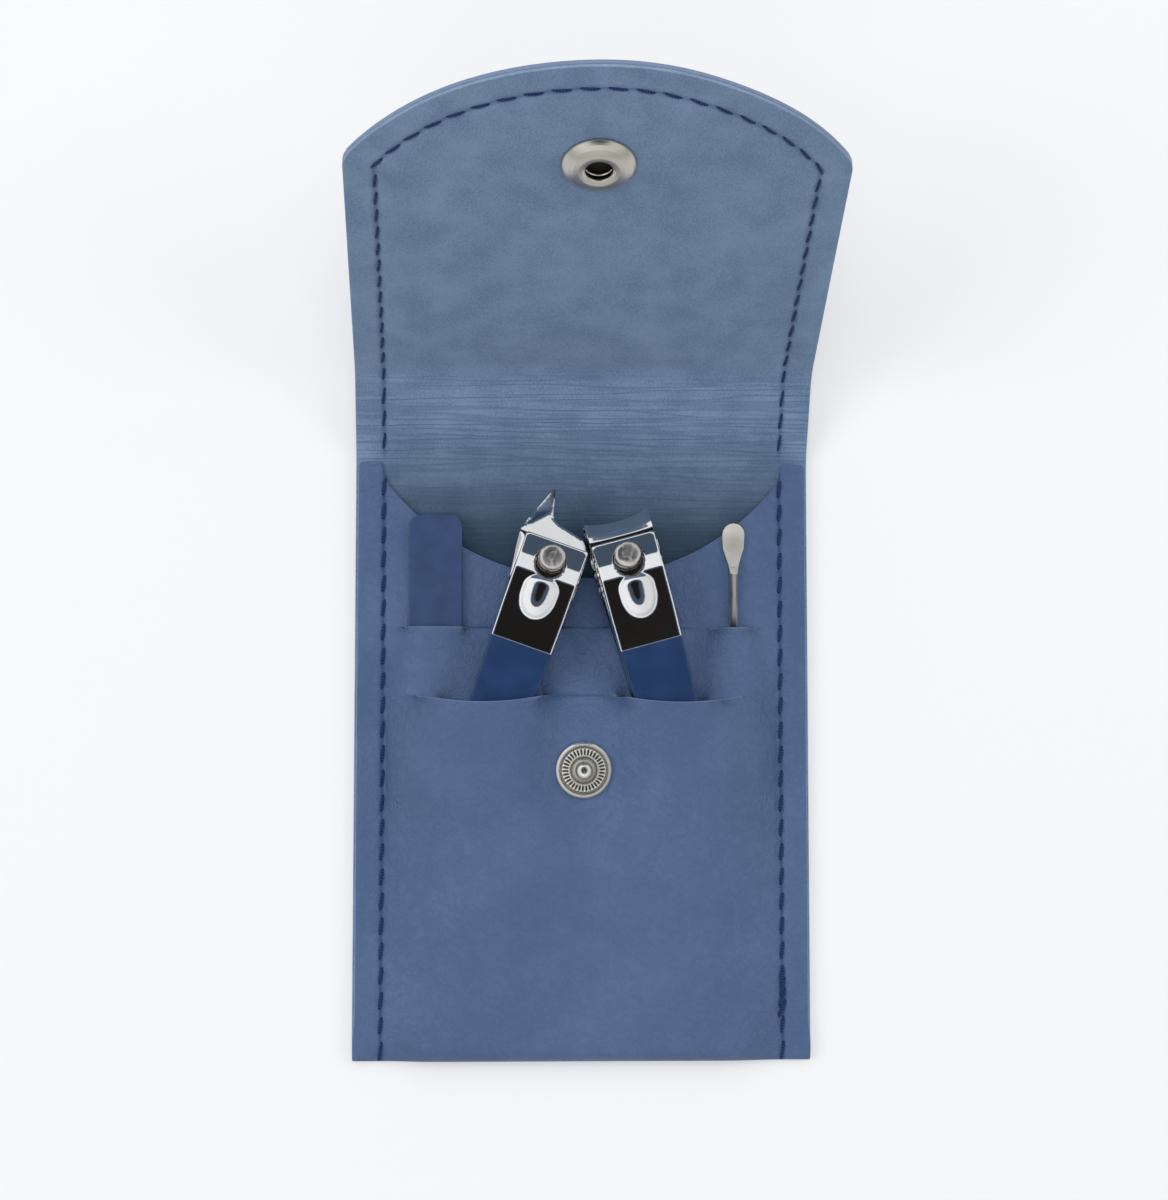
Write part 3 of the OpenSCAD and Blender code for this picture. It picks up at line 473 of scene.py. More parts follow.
def round_edges(face, back, border):
    """Draws face and back together near the cut edge, so that the edge is rounded."""
    middle = (face + back) / 2
    full = edge_fullness(border)[..., None]
    return middle + (face - middle) * full, middle + (back - middle) * full


def spread(low, high, step, rim_low=True, rim_high=True):
    """Even steps from low to high, with a few close ones at each end that is a cut edge."""
    n = max(2, int(round((high - low) / step)) + 1)
    places = np.linspace(low, high, n)
    extra = []
    if rim_low:
        extra += list(low + EDGE_STEPS)
    if rim_high:
        extra += list(high - EDGE_STEPS)
    places = np.sort(np.concatenate([places, extra]))
    keep = np.concatenate([[True], np.diff(places) > 1e-6])
    return places[keep]


def with_seams(columns):
    """Grid columns with a few close ones on both side seams, so that the thread's groove has its shape."""
    near = np.array([-0.9, -0.6, -0.38, -0.19, 0.0, 0.19, 0.38, 0.6, 0.9])
    clear = columns[np.abs(np.abs(columns) - SEAM_X) > 1.0]
    return np.sort(np.concatenate([clear, SEAM_X + near, near - SEAM_X]))


def soft_noise(x, y, seed, count, wave, size):
    """A sum of count sine waves in random directions, about wave millimetres long and size high."""
    rng = np.random.default_rng(seed)
    total = np.zeros(np.broadcast(x, y).shape)
    for _ in range(count):
        turn, phase = rng.uniform(0, 2 * np.pi, 2)
        length = wave * rng.uniform(0.6, 1.6)
        total += np.sin(2 * np.pi * (x * np.cos(turn) + y * np.sin(turn)) / length + phase)
    return total * size / math.sqrt(count)


# %% [markdown]
# ## Leather, lining and thread materials
# The leather is a smooth blue hide with fine pores and slow changes of tone. The lining is sueded: its nap scatters
# light and shows faint strokes. Cut edges are paler, because the dye does not reach the middle of the hide.

# %% Leather, lining and thread materials


def make_hide_group():
    """Pores and creases of a hide. Pore Size and Mottle Size are in metres."""
    group, given, result = start_group(
        "hide_grain",
        [("Vector", "NodeSocketVector", None), ("Pore Size", "NodeSocketFloat", 0.0006),
         ("Mottle Size", "NodeSocketFloat", 0.012)],
        [("Height", "NodeSocketFloat"), ("Mottle", "NodeSocketFloat")],
    )
    pore_scale = math_node(group, "DIVIDE", 1.0, given["Pore Size"])
    mottle_scale = math_node(group, "DIVIDE", 1.0, given["Mottle Size"])
    pores = add_node(group, "ShaderNodeTexVoronoi", feature="DISTANCE_TO_EDGE")
    join(group, given["Vector"], pores.inputs["Vector"])
    join(group, pore_scale, pores.inputs["Scale"])
    fine = add_node(group, "ShaderNodeTexNoise", in_Detail=4.0, in_Roughness=0.6)
    join(group, given["Vector"], fine.inputs["Vector"])
    join(group, math_node(group, "MULTIPLY", pore_scale, 0.35), fine.inputs["Scale"])
    slow = add_node(group, "ShaderNodeTexNoise", in_Detail=5.0, in_Roughness=0.55)
    join(group, given["Vector"], slow.inputs["Vector"])
    join(group, mottle_scale, slow.inputs["Scale"])
    cells = ramp(group, pores.outputs["Distance"], 0.0, 0.25)
    creases_and_mouth_shade = add_node(group, "ShaderNodeTexNoise", in_Detail=3.0, in_Roughness=0.55, in_Distortion=0.7)
    join(group, given["Vector"], creases_and_mouth_shade.inputs["Vector"])
    join(group, math_node(group, "MULTIPLY", mottle_scale, 6.5), creases_and_mouth_shade.inputs["Scale"])
    off = math_node(group, "ABSOLUTE", math_node(group, "SUBTRACT", creases_and_mouth_shade.outputs[0], 0.5))
    creases = ramp(group, off, 0.0, 0.08, 1.0, 0.0)
    height = math_node(group, "MULTIPLY_ADD", fine.outputs[0], 0.8, math_node(group, "MULTIPLY", cells, 0.5))
    height = math_node(group, "MULTIPLY_ADD", creases, -4.0, height)
    join(group, height, result["Height"])
    join(group, slow.outputs[0], result["Mottle"])
    return group


def make_nap_group():
    """Fibres of suede: short strokes stretched along one axis, and patches where the nap lies another way."""
    group, given, result = start_group(
        "suede_nap",
        [("Vector", "NodeSocketVector", None), ("Fibre Size", "NodeSocketFloat", 0.00035),
         ("Stretch", "NodeSocketFloat", 2.2)],
        [("Height", "NodeSocketFloat"), ("Tone", "NodeSocketFloat")],
    )
    fibre_scale = math_node(group, "DIVIDE", 1.0, given["Fibre Size"])
    stretch = add_node(group, "ShaderNodeCombineXYZ", in_Y=1.0, in_Z=1.0)
    join(group, given["Stretch"], stretch.inputs["X"])
    squeezed = add_node(group, "ShaderNodeVectorMath", operation="MULTIPLY")
    join(group, given["Vector"], squeezed.inputs[0])
    join(group, stretch.outputs[0], squeezed.inputs[1])
    fibres = add_node(group, "ShaderNodeTexNoise", in_Detail=3.0, in_Roughness=0.7)
    join(group, squeezed.outputs[0], fibres.inputs["Vector"])
    join(group, fibre_scale, fibres.inputs["Scale"])
    patches = add_node(group, "ShaderNodeTexNoise", in_Detail=4.0, in_Scale=160.0)
    join(group, given["Vector"], patches.inputs["Vector"])
    tone = mix_colour(group, 0.45, fibres.outputs[1], patches.outputs[1])
    grey = add_node(group, "ShaderNodeRGBToBW")
    join(group, tone, grey.inputs[0])
    join(group, fibres.outputs[0], result["Height"])
    join(group, grey.outputs[0], result["Tone"])
    return group


def make_scratch_group():
    """Fine rubbing marks of polished metal: long thin noise, and a cloudier change of gloss."""
    group, given, result = start_group(
        "rub_marks",
        [("Vector", "NodeSocketVector", None), ("Mark Size", "NodeSocketFloat", 0.0009),
         ("Stretch", "NodeSocketFloat", 14.0)],
        [("Height", "NodeSocketFloat"), ("Cloud", "NodeSocketFloat")],
    )
    scale = math_node(group, "DIVIDE", 1.0, given["Mark Size"])
    stretch = add_node(group, "ShaderNodeCombineXYZ", in_Y=1.0, in_Z=1.0)
    join(group, given["Stretch"], stretch.inputs["X"])
    long = add_node(group, "ShaderNodeVectorMath", operation="MULTIPLY")
    join(group, given["Vector"], long.inputs[0])
    join(group, stretch.outputs[0], long.inputs[1])
    marks = add_node(group, "ShaderNodeTexNoise", in_Detail=2.0)
    join(group, long.outputs[0], marks.inputs["Vector"])
    join(group, scale, marks.inputs["Scale"])
    cloud = add_node(group, "ShaderNodeTexNoise", in_Detail=4.0, in_Scale=260.0)
    join(group, given["Vector"], cloud.inputs["Vector"])
    join(group, marks.outputs[0], result["Height"])
    join(group, cloud.outputs[0], result["Cloud"])
    return group


def make_fold_group():
    """Cross wrinkles of a lining: long lines where a stretched noise passes its middle, and finer creases.

    Spacing and Length are in millimetres. Along is the distance along the strip, so the lines follow the bend, and
    Vector gives the place across it.
    """
    group, given, result = start_group(
        "cross_folds",
        [("Vector", "NodeSocketVector", None), ("Along", "NodeSocketFloat", 0.0),
         ("Spacing", "NodeSocketFloat", 2.3), ("Length", "NodeSocketFloat", 26.0)],
        [("Lines", "NodeSocketFloat")],
    )
    parts = add_node(group, "ShaderNodeSeparateXYZ")
    join(group, given["Vector"], parts.inputs[0])
    across = math_node(group, "MULTIPLY", parts.outputs["X"], 1000.0)
    place = add_node(group, "ShaderNodeCombineXYZ")
    join(group, math_node(group, "DIVIDE", across, given["Length"]), place.inputs["X"])
    join(group, math_node(group, "DIVIDE", given["Along"], given["Spacing"]), place.inputs["Y"])
    noise = add_node(group, "ShaderNodeTexNoise", in_Scale=0.8, in_Detail=1.5, in_Roughness=0.5)
    join(group, place.outputs[0], noise.inputs["Vector"])
    off = math_node(group, "ABSOLUTE", math_node(group, "SUBTRACT", noise.outputs[0], 0.5))
    folds = ramp(group, off, 0.0, 0.09, 1.0, 0.0)
    fine = add_node(group, "ShaderNodeTexNoise", in_Scale=2.3, in_Detail=3.0, in_Roughness=0.6)
    join(group, place.outputs[0], fine.inputs["Vector"])
    creases = math_node(group, "MULTIPLY", ramp(group, fine.outputs[0], 0.52, 0.66), 0.65)
    join(group, math_node(group, "MAXIMUM", folds, creases), result["Lines"])
    return group


hide_group = make_hide_group()
fold_group = make_fold_group()
nap_group = make_nap_group()
scratch_group = make_scratch_group()


def add_bump(tree, shader, height, strength, distance):
    bump = add_node(tree, "ShaderNodeBump", in_Strength=strength, in_Distance=distance)
    join(tree, height, bump.inputs["Height"])
    join(tree, bump.outputs[0], shader.inputs["Normal"])


def attribute(tree, name):
    return add_node(tree, "ShaderNodeAttribute", attribute_name=name).outputs["Fac"]


def cut_edge_mask(tree):
    """1 within about 0.2 mm of a cut edge, from the sheet's border attribute, which is in millimetres."""
    return ramp(tree, attribute(tree, "border"), 0.04, 0.2, 1.0, 0.0)


def make_leather():
    material, tree, shader = start_material("outer_leather")
    grain = use_group(tree, hide_group, Pore_Size=0.00055, Mottle_Size=0.014)
    join(tree, object_place(tree), grain.inputs["Vector"])
    mottle = ramp(tree, grain.outputs["Mottle"], 0.3, 0.7)
    hide = mix_colour(tree, mottle, (0.064, 0.107, 0.216), (0.080, 0.130, 0.252))
    pore_tone = ramp(tree, grain.outputs["Height"], 0.35, 0.85)
    hide = mix_colour(tree, math_node(tree, "MULTIPLY_ADD", pore_tone, -0.16, 0.16), hide, (0.034, 0.062, 0.135))
    # Painted shade: the hide is darkened along the grooves of the seams.
    hide = mix_colour(tree, math_node(tree, "MULTIPLY", attribute(tree, "groove_shade"), 0.85), hide, (0.020, 0.044, 0.128))
    edge = math_node(tree, "MULTIPLY", cut_edge_mask(tree), 0.4)
    join(tree, mix_colour(tree, edge, hide, (0.33, 0.42, 0.58)), shader.inputs["Base Color"])
    join(tree, ramp(tree, mottle, 0.0, 1.0, 0.50, 0.42), shader.inputs["Roughness"])
    shader.inputs["Specular IOR Level"].default_value = 0.28
    add_bump(tree, shader, grain.outputs["Height"], 0.32, 0.0001)
    return material


def make_suede():
    """The lining is darkened as painted shade from the first crease into the mouth, where the pocket is deep."""
    material, tree, shader = start_material("suede_lining")
    nap = use_group(tree, nap_group, Fibre_Size=0.0005, Stretch=1.8)
    join(tree, object_place(tree), nap.inputs["Vector"])
    folds = use_group(tree, fold_group, Spacing=1.25, Length=30.0)
    join(tree, object_place(tree), folds.inputs["Vector"])
    join(tree, attribute(tree, "along"), folds.inputs["Along"])
    lines = math_node(tree, "MULTIPLY", folds.outputs["Lines"], attribute(tree, "wrinkle"))
    tone = ramp(tree, nap.outputs["Tone"], 0.39, 0.61)
    suede = mix_colour(tree, tone, (0.122, 0.188, 0.298), (0.186, 0.268, 0.400))
    # Painted shade: the colour is darkened along the fold lines, as shade gathers in their creases.
    suede = mix_colour(tree, math_node(tree, "MULTIPLY", lines, 0.36), suede, (0.066, 0.115, 0.205))
    inside = ramp(tree, attribute(tree, "border"), 1.5, 7.0)
    # Painted shade: darker from the first crease into the mouth, away from the cut edges.
    creases_and_mouth_shade = math_node(tree, "MULTIPLY", ramp(tree, attribute(tree, "along"), -20.0, 12.0, 0.92, 0.0), inside)
    suede = mix_colour(tree, creases_and_mouth_shade, suede, (0.020, 0.038, 0.062))
    # Painted shade: the nap is darkened along the seam's groove.
    suede = mix_colour(tree, math_node(tree, "MULTIPLY", attribute(tree, "groove_shade"), 0.6), suede, (0.045, 0.085, 0.18))
    edge = math_node(tree, "MULTIPLY", cut_edge_mask(tree), 0.25)
    join(tree, mix_colour(tree, edge, suede, (0.36, 0.46, 0.60)), shader.inputs["Base Color"])
    shader.inputs["Roughness"].default_value = 0.93
    shader.inputs["Specular IOR Level"].default_value = 0.15
    shader.inputs["Sheen Weight"].default_value = 0.25
    shader.inputs["Sheen Roughness"].default_value = 0.5
    shader.inputs["Sheen Tint"].default_value = (0.6, 0.72, 0.9, 1.0)
    height = math_node(tree, "MULTIPLY_ADD", lines, -1.6, nap.outputs["Height"])
    add_bump(tree, shader, height, 0.5, 0.00015)
    return material


def make_thread():
    """Two-ply thread: the strand attribute is the turn round the twist, so its sine gives the ply's ridges."""
    material, tree, shader = start_material("thread")
    wave = math_node(tree, "SINE", math_node(tree, "MULTIPLY", attribute(tree, "strand"), 2 * math.pi))
    ply = ramp(tree, wave, -1.0, 1.0)
    join(tree, mix_colour(tree, ply, (0.006, 0.018, 0.070), (0.018, 0.044, 0.145)), shader.inputs["Base Color"])
    shader.inputs["Roughness"].default_value = 0.7
    shader.inputs["Specular IOR Level"].default_value = 0.15
    shader.inputs["Sheen Weight"].default_value = 0.08
    add_bump(tree, shader, ply, 0.8, 0.00012)
    return material


leather = make_leather()
suede = make_suede()
thread = make_thread()
print("materials:", [m.name for m in bpy.data.materials])

# %% [markdown]
# ## Back, spine and flap
# One strip of leather and one of lining run from the pouch's bottom fold to the flap's round end. Each is made in
# two lengths that meet in the middle of the spine, because a sheet may bend across one joint only.

# %% Back, spine and flap
SPINE_MIDDLE = SPINE_L / 2
FLAP_END = SPINE_L + FLAP_L
POUCH_START = -(POUCH_L - FOLD_D)
STRIP_STEP = 0.9
END_FINE = 24.0


END_CENTRE = FLAP_END - FLAP_END_R
CORNER_X = POUCH_W / 2 - FLAP_CORNER_R
CORNER_S = END_CENTRE + math.sqrt((FLAP_END_R - FLAP_CORNER_R) ** 2 - CORNER_X**2)
CORNER_TURN = math.atan2(CORNER_S - END_CENTRE, CORNER_X)


def flap_end_s(x):
    """Where the flap ends at x: an arc of FLAP_END_R with round corners of FLAP_CORNER_R."""
    a = np.abs(x)
    on_end = END_CENTRE + np.sqrt(np.maximum(FLAP_END_R**2 - a**2, 0.0))
    on_corner = CORNER_S + np.sqrt(np.maximum(FLAP_CORNER_R**2 - np.maximum(a - CORNER_X, 0.0) ** 2, 0.0))
    return np.where(a < FLAP_END_R * math.cos(CORNER_TURN), on_end, on_corner)


def strip_border(x, s):
    """Distance from the strip's cut edge."""
    a = np.abs(x)
    border = POUCH_W / 2 - a
    from_end = FLAP_END_R - np.hypot(x, s - END_CENTRE)
    border = np.where(s > END_CENTRE, np.minimum(border, np.maximum(from_end, 0.0)), border)
    below_turn = s - CORNER_S < math.tan(CORNER_TURN) * (a - CORNER_X)
    at_corner = (s > CORNER_S) & (a > CORNER_X) & below_turn
    border = np.where(at_corner, np.minimum(border, FLAP_CORNER_R - np.hypot(a - CORNER_X, s - CORNER_S)), border)
    return np.maximum(border, 0.0)


def strip_wrinkles(x, s):
    """Ripples where the lining is pushed together above the mouth, and gentle waves of the free flap."""
    mouth = ease((s + 30) / 14) * ease((4 - s) / 10) * ease((POUCH_W / 2 - 3 - abs(x)) / 8)
    bend = 1.4 * np.sin(x / 15.0 + 0.6) + 0.9 * np.sin(x / 6.1)
    ripple = np.sin((s + bend) * 2 * math.pi / 5.2) * 0.5 + np.sin((s - bend) * 2 * math.pi / 3.3 + 1.0) * 0.3
    flap = ease((s - 24) / 20) * soft_noise(x, s, 5, 5, 38.0, 0.12)
    return np.maximum(0.16 * mouth * ripple, 0.0) + flap


BEND_FREE_S = 30.0
SEAM_TURN_S = END_CENTRE + math.sqrt((FLAP_END_R - SEAM_INSET) ** 2 - SEAM_X**2)


def strip_piece(name, s_from, s_to, low, high, closed_end, material, grooved):
    """A length of the strip between two heights above the lining's face."""
    s_rows = spread(s_from, s_to, STRIP_STEP, False, closed_end)
    if closed_end:
        s_rows = np.concatenate([s_rows[s_rows < s_to - END_FINE], spread(s_to - END_FINE, s_to, STRIP_STEP / 2, False)])
    x_columns = with_seams(spread(-POUCH_W / 2, POUCH_W / 2, STRIP_STEP))
    s, x = np.meshgrid(s_rows, x_columns, indexing="ij")
    if closed_end:
        share = (s - BEND_FREE_S) / (FLAP_END - BEND_FREE_S)
        s = np.where(s > BEND_FREE_S, BEND_FREE_S + share * (flap_end_s(x) - BEND_FREE_S), s)
    border = strip_border(x, s)
    lift = strip_wrinkles(x, s)
    dip = stitch_groove(x, s) if grooved else 0.0
    face, back = round_edges(on_strip(x, s, high + lift - dip), on_strip(x, s, low + lift), border)
    wrinkle = ease((s + 36) / 12) * ease((19 - s) / 6)
    # The marks say where the fold lines lie and where shade is painted along the seam's groove.
    made = make_sheet(name, face, back, border, marks={"along": s, "wrinkle": wrinkle, "groove_shade": stitch_groove_shade(x, s)})
    made.data.materials.append(material)
    return made


def seam_distance(x, s):
    """Distance to the seam that follows the strip's sides and the flap's round end."""
    beside = np.abs(np.abs(x) - SEAM_X)
    beyond = np.abs(np.hypot(x, s - END_CENTRE) - (FLAP_END_R - SEAM_INSET))
    return np.where(s < SEAM_TURN_S, beside, beyond)


def stitch_groove(x, s):
    """Depth of the line that the thread presses into the lining."""
    return 0.22 * np.exp(-((seam_distance(x, s) / 0.55) ** 2)) * ease((s - 0.5) / 2)


def stitch_groove_shade(x, s):
    """How dark the groove is: painted shade along the thread, where the nap is also rubbed."""
    return np.exp(-((seam_distance(x, s) / 0.4) ** 2)) * ease((s + 0.5) / 1.5)


def make_strips():
    low_joint = [tuple(p * MM) for p in (on_strip(0.0, -CREASE_HALF, 0.0), on_strip(0.0, CREASE_HALF, 0.0))]
    high_joint = [
        tuple(p * MM)
        for p in (on_strip(0.0, SPINE_L - CREASE_HALF, 0.0), on_strip(0.0, SPINE_L + CREASE_HALF, 0.0))
    ]
    for layer, low, high, material in (("leather", -1.5, -0.6, leather), ("lining", -0.6, 0.0, suede)):
        pouch_node = "back_panel" if layer == "leather" else "pocket_lining"
        lower = strip_piece(f"back_{layer}", POUCH_START, SPINE_MIDDLE, low, high, False, material, layer == "lining")
        upper = strip_piece(f"flap_{layer}_sheet", SPINE_MIDDLE, FLAP_END, low, high, True, material, layer == "lining")
        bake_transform(lower)
        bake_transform(upper)
        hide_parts(pouch_node)
        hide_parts(f"spine_{layer}", f"flap_{layer}")
    return low_joint, high_joint


low_joint, high_joint = make_strips()

# %% [markdown]
# ## Tools' places
# Each clipper is drawn with its post at the origin and its jaws towards +Y, then leaned and tilted into its slit.
# u is the distance ahead of the post, v the distance to its right and w the height over its foot.

# %% Tools' places
CLIPPER_SLIT_Y, SMALL_SLIT_Y = TOP_Y - 42.4, TOP_Y - 30.2
CLIPPER_SLIT_W, CLIPPER_SLIT_SAG = 22.9, 1.3
LEFT_SLIT_X, RIGHT_SLIT_X = -17.65, 16.6
FILE_X, PICK_X = -25.95, 26.8
FILE_W, FILE_T, FILE_L = 9.3, 1.2, 85.0
PICK_D, PICK_L = 1.4, 84.0
FILE_OUT, PICK_OUT = 20.0, 18.6
SEAT_GAP = 0.3
TOOL_FLOOR = LINING_TOP + 0.25
TOOL_RISE = LEATHER_T + SEAT_GAP
CLIPPER_W, TAIL_L = 11.8, 46.0
LEAF_T, LEAF_BOW, MEET_W = 1.3, 2.55, 3.85
LEVER_W, LEVER_T, LEVER_CREASE = 11.3, 1.2, 4.1
LEVER_REST_W = 2 * MEET_W + 0.4
LEVER_FRONT_DROP, LEVER_TAIL_DROP = 0.55, 2.3
CLIPPER_TILT = math.radians(3.0)
CLIPPER_BASE_Z = 3.1 + LEATHER_T + 2 * SEAT_GAP
POST_OUT = 26.0
LEFT_LEAN, RIGHT_LEAN = math.radians(19.4), math.radians(-15.3)


def post_place(x, lean):
    return (x + POST_OUT * math.sin(lean), CLIPPER_SLIT_Y - 0.4 + POST_OUT * math.cos(lean))


LEFT_POST = post_place(LEFT_SLIT_X + 3.48, LEFT_LEAN)
RIGHT_POST = post_place(RIGHT_SLIT_X - 2.55, RIGHT_LEAN)
print("posts in mm:", np.round(LEFT_POST, 2), np.round(RIGHT_POST, 2))


def clipper_matrix(post, lean):
    """From a clipper's own u, v, w in millimetres to the frame in metres."""
    place = Matrix.Translation(Vector((post[0], post[1], CLIPPER_BASE_Z)))
    turned = place @ Matrix.Rotation(-lean, 4, "Z") @ Matrix.Rotation(CLIPPER_TILT, 4, "X")
    return Matrix.Scale(MM, 4) @ turned


LEFT_MATRIX, RIGHT_MATRIX = clipper_matrix(LEFT_POST, LEFT_LEAN), clipper_matrix(RIGHT_POST, RIGHT_LEAN)


def lever_under(u):
    """Underside of a lever: a long slope to the tail, a crease, and a short slope to the front."""
    front = mix(LEVER_REST_W, LEVER_REST_W - LEVER_FRONT_DROP, (u + LEVER_CREASE) / (LEVER_CREASE + 4.6))
    tail = mix(LEVER_REST_W, LEVER_REST_W - LEVER_TAIL_DROP, (-LEVER_CREASE - u) / (TAIL_L - LEVER_CREASE))
    return np.where(u > -LEVER_CREASE, front, tail)


def leaf_under(u):
    return LEAF_BOW * (1.0 - ease((u + TAIL_L - 8.0) / 34.0))


def ahead(x, y, post, lean):
    return (x - post[0]) * math.sin(lean) + (y - post[1]) * math.cos(lean)


def aside(x, y, post, lean):
    return (x - post[0]) * math.cos(lean) - (y - post[1]) * math.sin(lean)


# %% [markdown]
# ## Front panel
# The front panel is padded: it is puffed over the pocket, pressed flat round the snap and along the side seams,
# raised over the tools that lie behind it, and pressed down where they cross it. Its height is a function of the
# place on the pouch. The same sheet turns round the bottom fold, and is cut by four slits and a round mouth.

# %% Front panel
SNAP_Y = TOP_Y - 55.4
FOLD_PUFF, SNAP_PUFF = 3.9, 5.7
MOUTH_Y, MOUTH_R = TOP_Y - 21.3, 44.1
PAD_TOP = LINING_TOP + SNAP_PUFF
SHUT_SLOPE = math.tan(math.radians(6.464))
STUD_R = 5.0
FILE_SLIT_MARGIN, PICK_SLIT_W, LIP_OPEN = 0.8, 8.5, 0.5
FILE_SLIT_HALF = FILE_W / 2 + FILE_SLIT_MARGIN
CLIPPER_SLITS = [(x - CLIPPER_SLIT_W / 2, x + CLIPPER_SLIT_W / 2) for x in (LEFT_SLIT_X, RIGHT_SLIT_X)]
SMALL_SLITS = [
    (FILE_X - FILE_SLIT_HALF, FILE_X + FILE_SLIT_HALF),
    (PICK_X - PICK_SLIT_W / 2, PICK_X + PICK_SLIT_W / 2),
]


def plateau(t, low, high, run_low, run_high):
    """1 from low to high, with a soft run down to 0 on each side."""
    return ease((t - low + run_low) / run_low) * ease((high + run_high - t) / run_high)


def strongest(*parts):
    """A smooth maximum of several swellings."""
    return sum(p**4 for p in parts) ** 0.25


def arch(x, slit):
    t = (2 * x - slit[0] - slit[1]) / (slit[1] - slit[0])
    return np.maximum(0.0, 1.0 - t * t)


def clipper_row_y(x):
    return CLIPPER_SLIT_Y - CLIPPER_SLIT_SAG * sum(arch(x, slit) for slit in CLIPPER_SLITS)


def mouth_edge_y(x):
    a = np.minimum(np.abs(x), SEAM_X)
    scoop = MOUTH_Y + MOUTH_R - np.sqrt(MOUTH_R**2 - a**2)
    corner = 1.0 - np.sqrt(np.maximum(0.0, 1.0 - np.clip(np.abs(x) - FRONT_HALF_W + 1.0, 0.0, 1.0) ** 2))
    return mix(scoop, TOP_Y - 0.6 - corner, ease((np.abs(x) - SEAM_X + 0.5) / 1.1))


def file_under(y):
    return TOOL_FLOOR + (y - SMALL_SLIT_Y - FILE_OUT + FILE_L) * TOOL_RISE / (FILE_L - FILE_OUT)


def pick_under(y):
    return TOOL_FLOOR + (y - SMALL_SLIT_Y - PICK_OUT + PICK_L) * TOOL_RISE / (PICK_L - PICK_OUT)


def base_height(x, y):
    """Inner face of the padded panel: it rises from each side seam and swells towards the snap."""
    swell = mix(FOLD_PUFF, SNAP_PUFF, ease((y - FOLD_Y) / 38)) * (1 - ease((y - SNAP_Y - 6) / 22))
    return LINING_TOP + ease((SEAM_FLAT - np.abs(x)) / 8) * np.maximum(0.25, swell)


def file_cover(x, y):
    below, lower = np.maximum(0, SMALL_SLIT_Y - y), np.maximum(0, CLIPPER_SLIT_Y - y)
    reach = FILE_W / 2 + SEAT_GAP
    run_left = np.minimum(SEAM_FLAT + FILE_X - reach, FILE_SLIT_MARGIN - SEAT_GAP + 0.4 * below)
    run_right = FILE_SLIT_MARGIN - SEAT_GAP + 0.04 * below + 0.4 * lower
    end_y = SMALL_SLIT_Y + FILE_OUT - FILE_L
    rise = np.maximum(0, file_under(y) + FILE_T + SEAT_GAP - base_height(x, y))
    return plateau(x, FILE_X - reach, FILE_X + reach, run_left, run_right) * ease((y - end_y + 8) / 8) * rise


def pick_cover(x, y):
    below = np.maximum(0, SMALL_SLIT_Y - y)
    reach = PICK_D / 2 + SEAT_GAP
    run = np.minimum(SEAM_FLAT - PICK_X - reach, PICK_SLIT_W / 2 - reach + 0.3 * below)
    end_y = SMALL_SLIT_Y + PICK_OUT - PICK_L
    rise = np.maximum(0, pick_under(y) + PICK_D + SEAT_GAP - base_height(x, y))
    return plateau(x, PICK_X - reach, PICK_X + reach, run, run) * ease((y - end_y + 8) / 8) * rise


def lever_cover(x, y, post, lean, side, drift):
    u, v = ahead(x, y, post, lean), aside(x, y, post, lean) * side
    below = np.maximum(0, clipper_row_y(x) - y)
    half = LEVER_W / 2 + SEAT_GAP + 0.4
    swing = -u * math.tan(math.radians(2.0))
    over = np.maximum(u, -TAIL_L)
    top = CLIPPER_BASE_Z + over * math.sin(CLIPPER_TILT) + lever_under(over) + LEVER_T
    rise = np.maximum(0, top + SEAT_GAP - base_height(x, y))
    weight = plateau(v, -half, half + swing + drift, 1.2 + 0.75 * below, 3.4 + 0.75 * below)
    return weight * ease((u + TAIL_L + 12.2) / 11.2) * ease((SEAM_FLAT - np.abs(x)) / 5) * rise


def seat_weight(x, y, post, lean, drift):
    half = CLIPPER_W / 2 + 0.6
    return plateau(aside(x, y, post, lean), -half - drift, half, 1.3, 1.3)


def seat_height(x, y, post, lean):
    u = ahead(x, y, post, lean)
    under = CLIPPER_BASE_Z + u * math.sin(CLIPPER_TILT) + leaf_under(u)
    return np.maximum(LINING_TOP + 0.1, under - SEAT_GAP - LEATHER_T)


LEFT_DRIFT = 3.4


def press(z, x, y, low=0.0):
    """Presses the panel down under the two clippers."""
    left = np.maximum(low, seat_height(x, y, LEFT_POST, LEFT_LEAN))
    z = mix(z, left, seat_weight(x, y, LEFT_POST, LEFT_LEAN, LEFT_DRIFT))
    right = seat_height(x, y, RIGHT_POST, RIGHT_LEAN)
    return mix(z, right, seat_weight(x, y, RIGHT_POST, RIGHT_LEAN, 0.0))


def packed_low_height(x, y):
    """Inner face below the clippers' slits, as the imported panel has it."""
    covers = strongest(
        file_cover(x, y), pick_cover(x, y),
        lever_cover(x, y, LEFT_POST, LEFT_LEAN, -1, LEFT_DRIFT),
        lever_cover(x, y, RIGHT_POST, RIGHT_LEAN, 1, 0.0),
    )
    pad = PAD_TOP + (y - SNAP_Y) * SHUT_SLOPE
    weight = 1 - ease((np.hypot(x, y - SNAP_Y) - STUD_R - 2.0) / 4.3)
    lips = LIP_OPEN * sum(arch(x, slit) for slit in CLIPPER_SLITS)
    return mix(base_height(x, y) + covers, pad, weight) + lips * ease(1 - (clipper_row_y(x) - y) / 4)


NET_STEP = 0.8
NET_ROUNDS = 1500
NET_PUFF = 0.0016


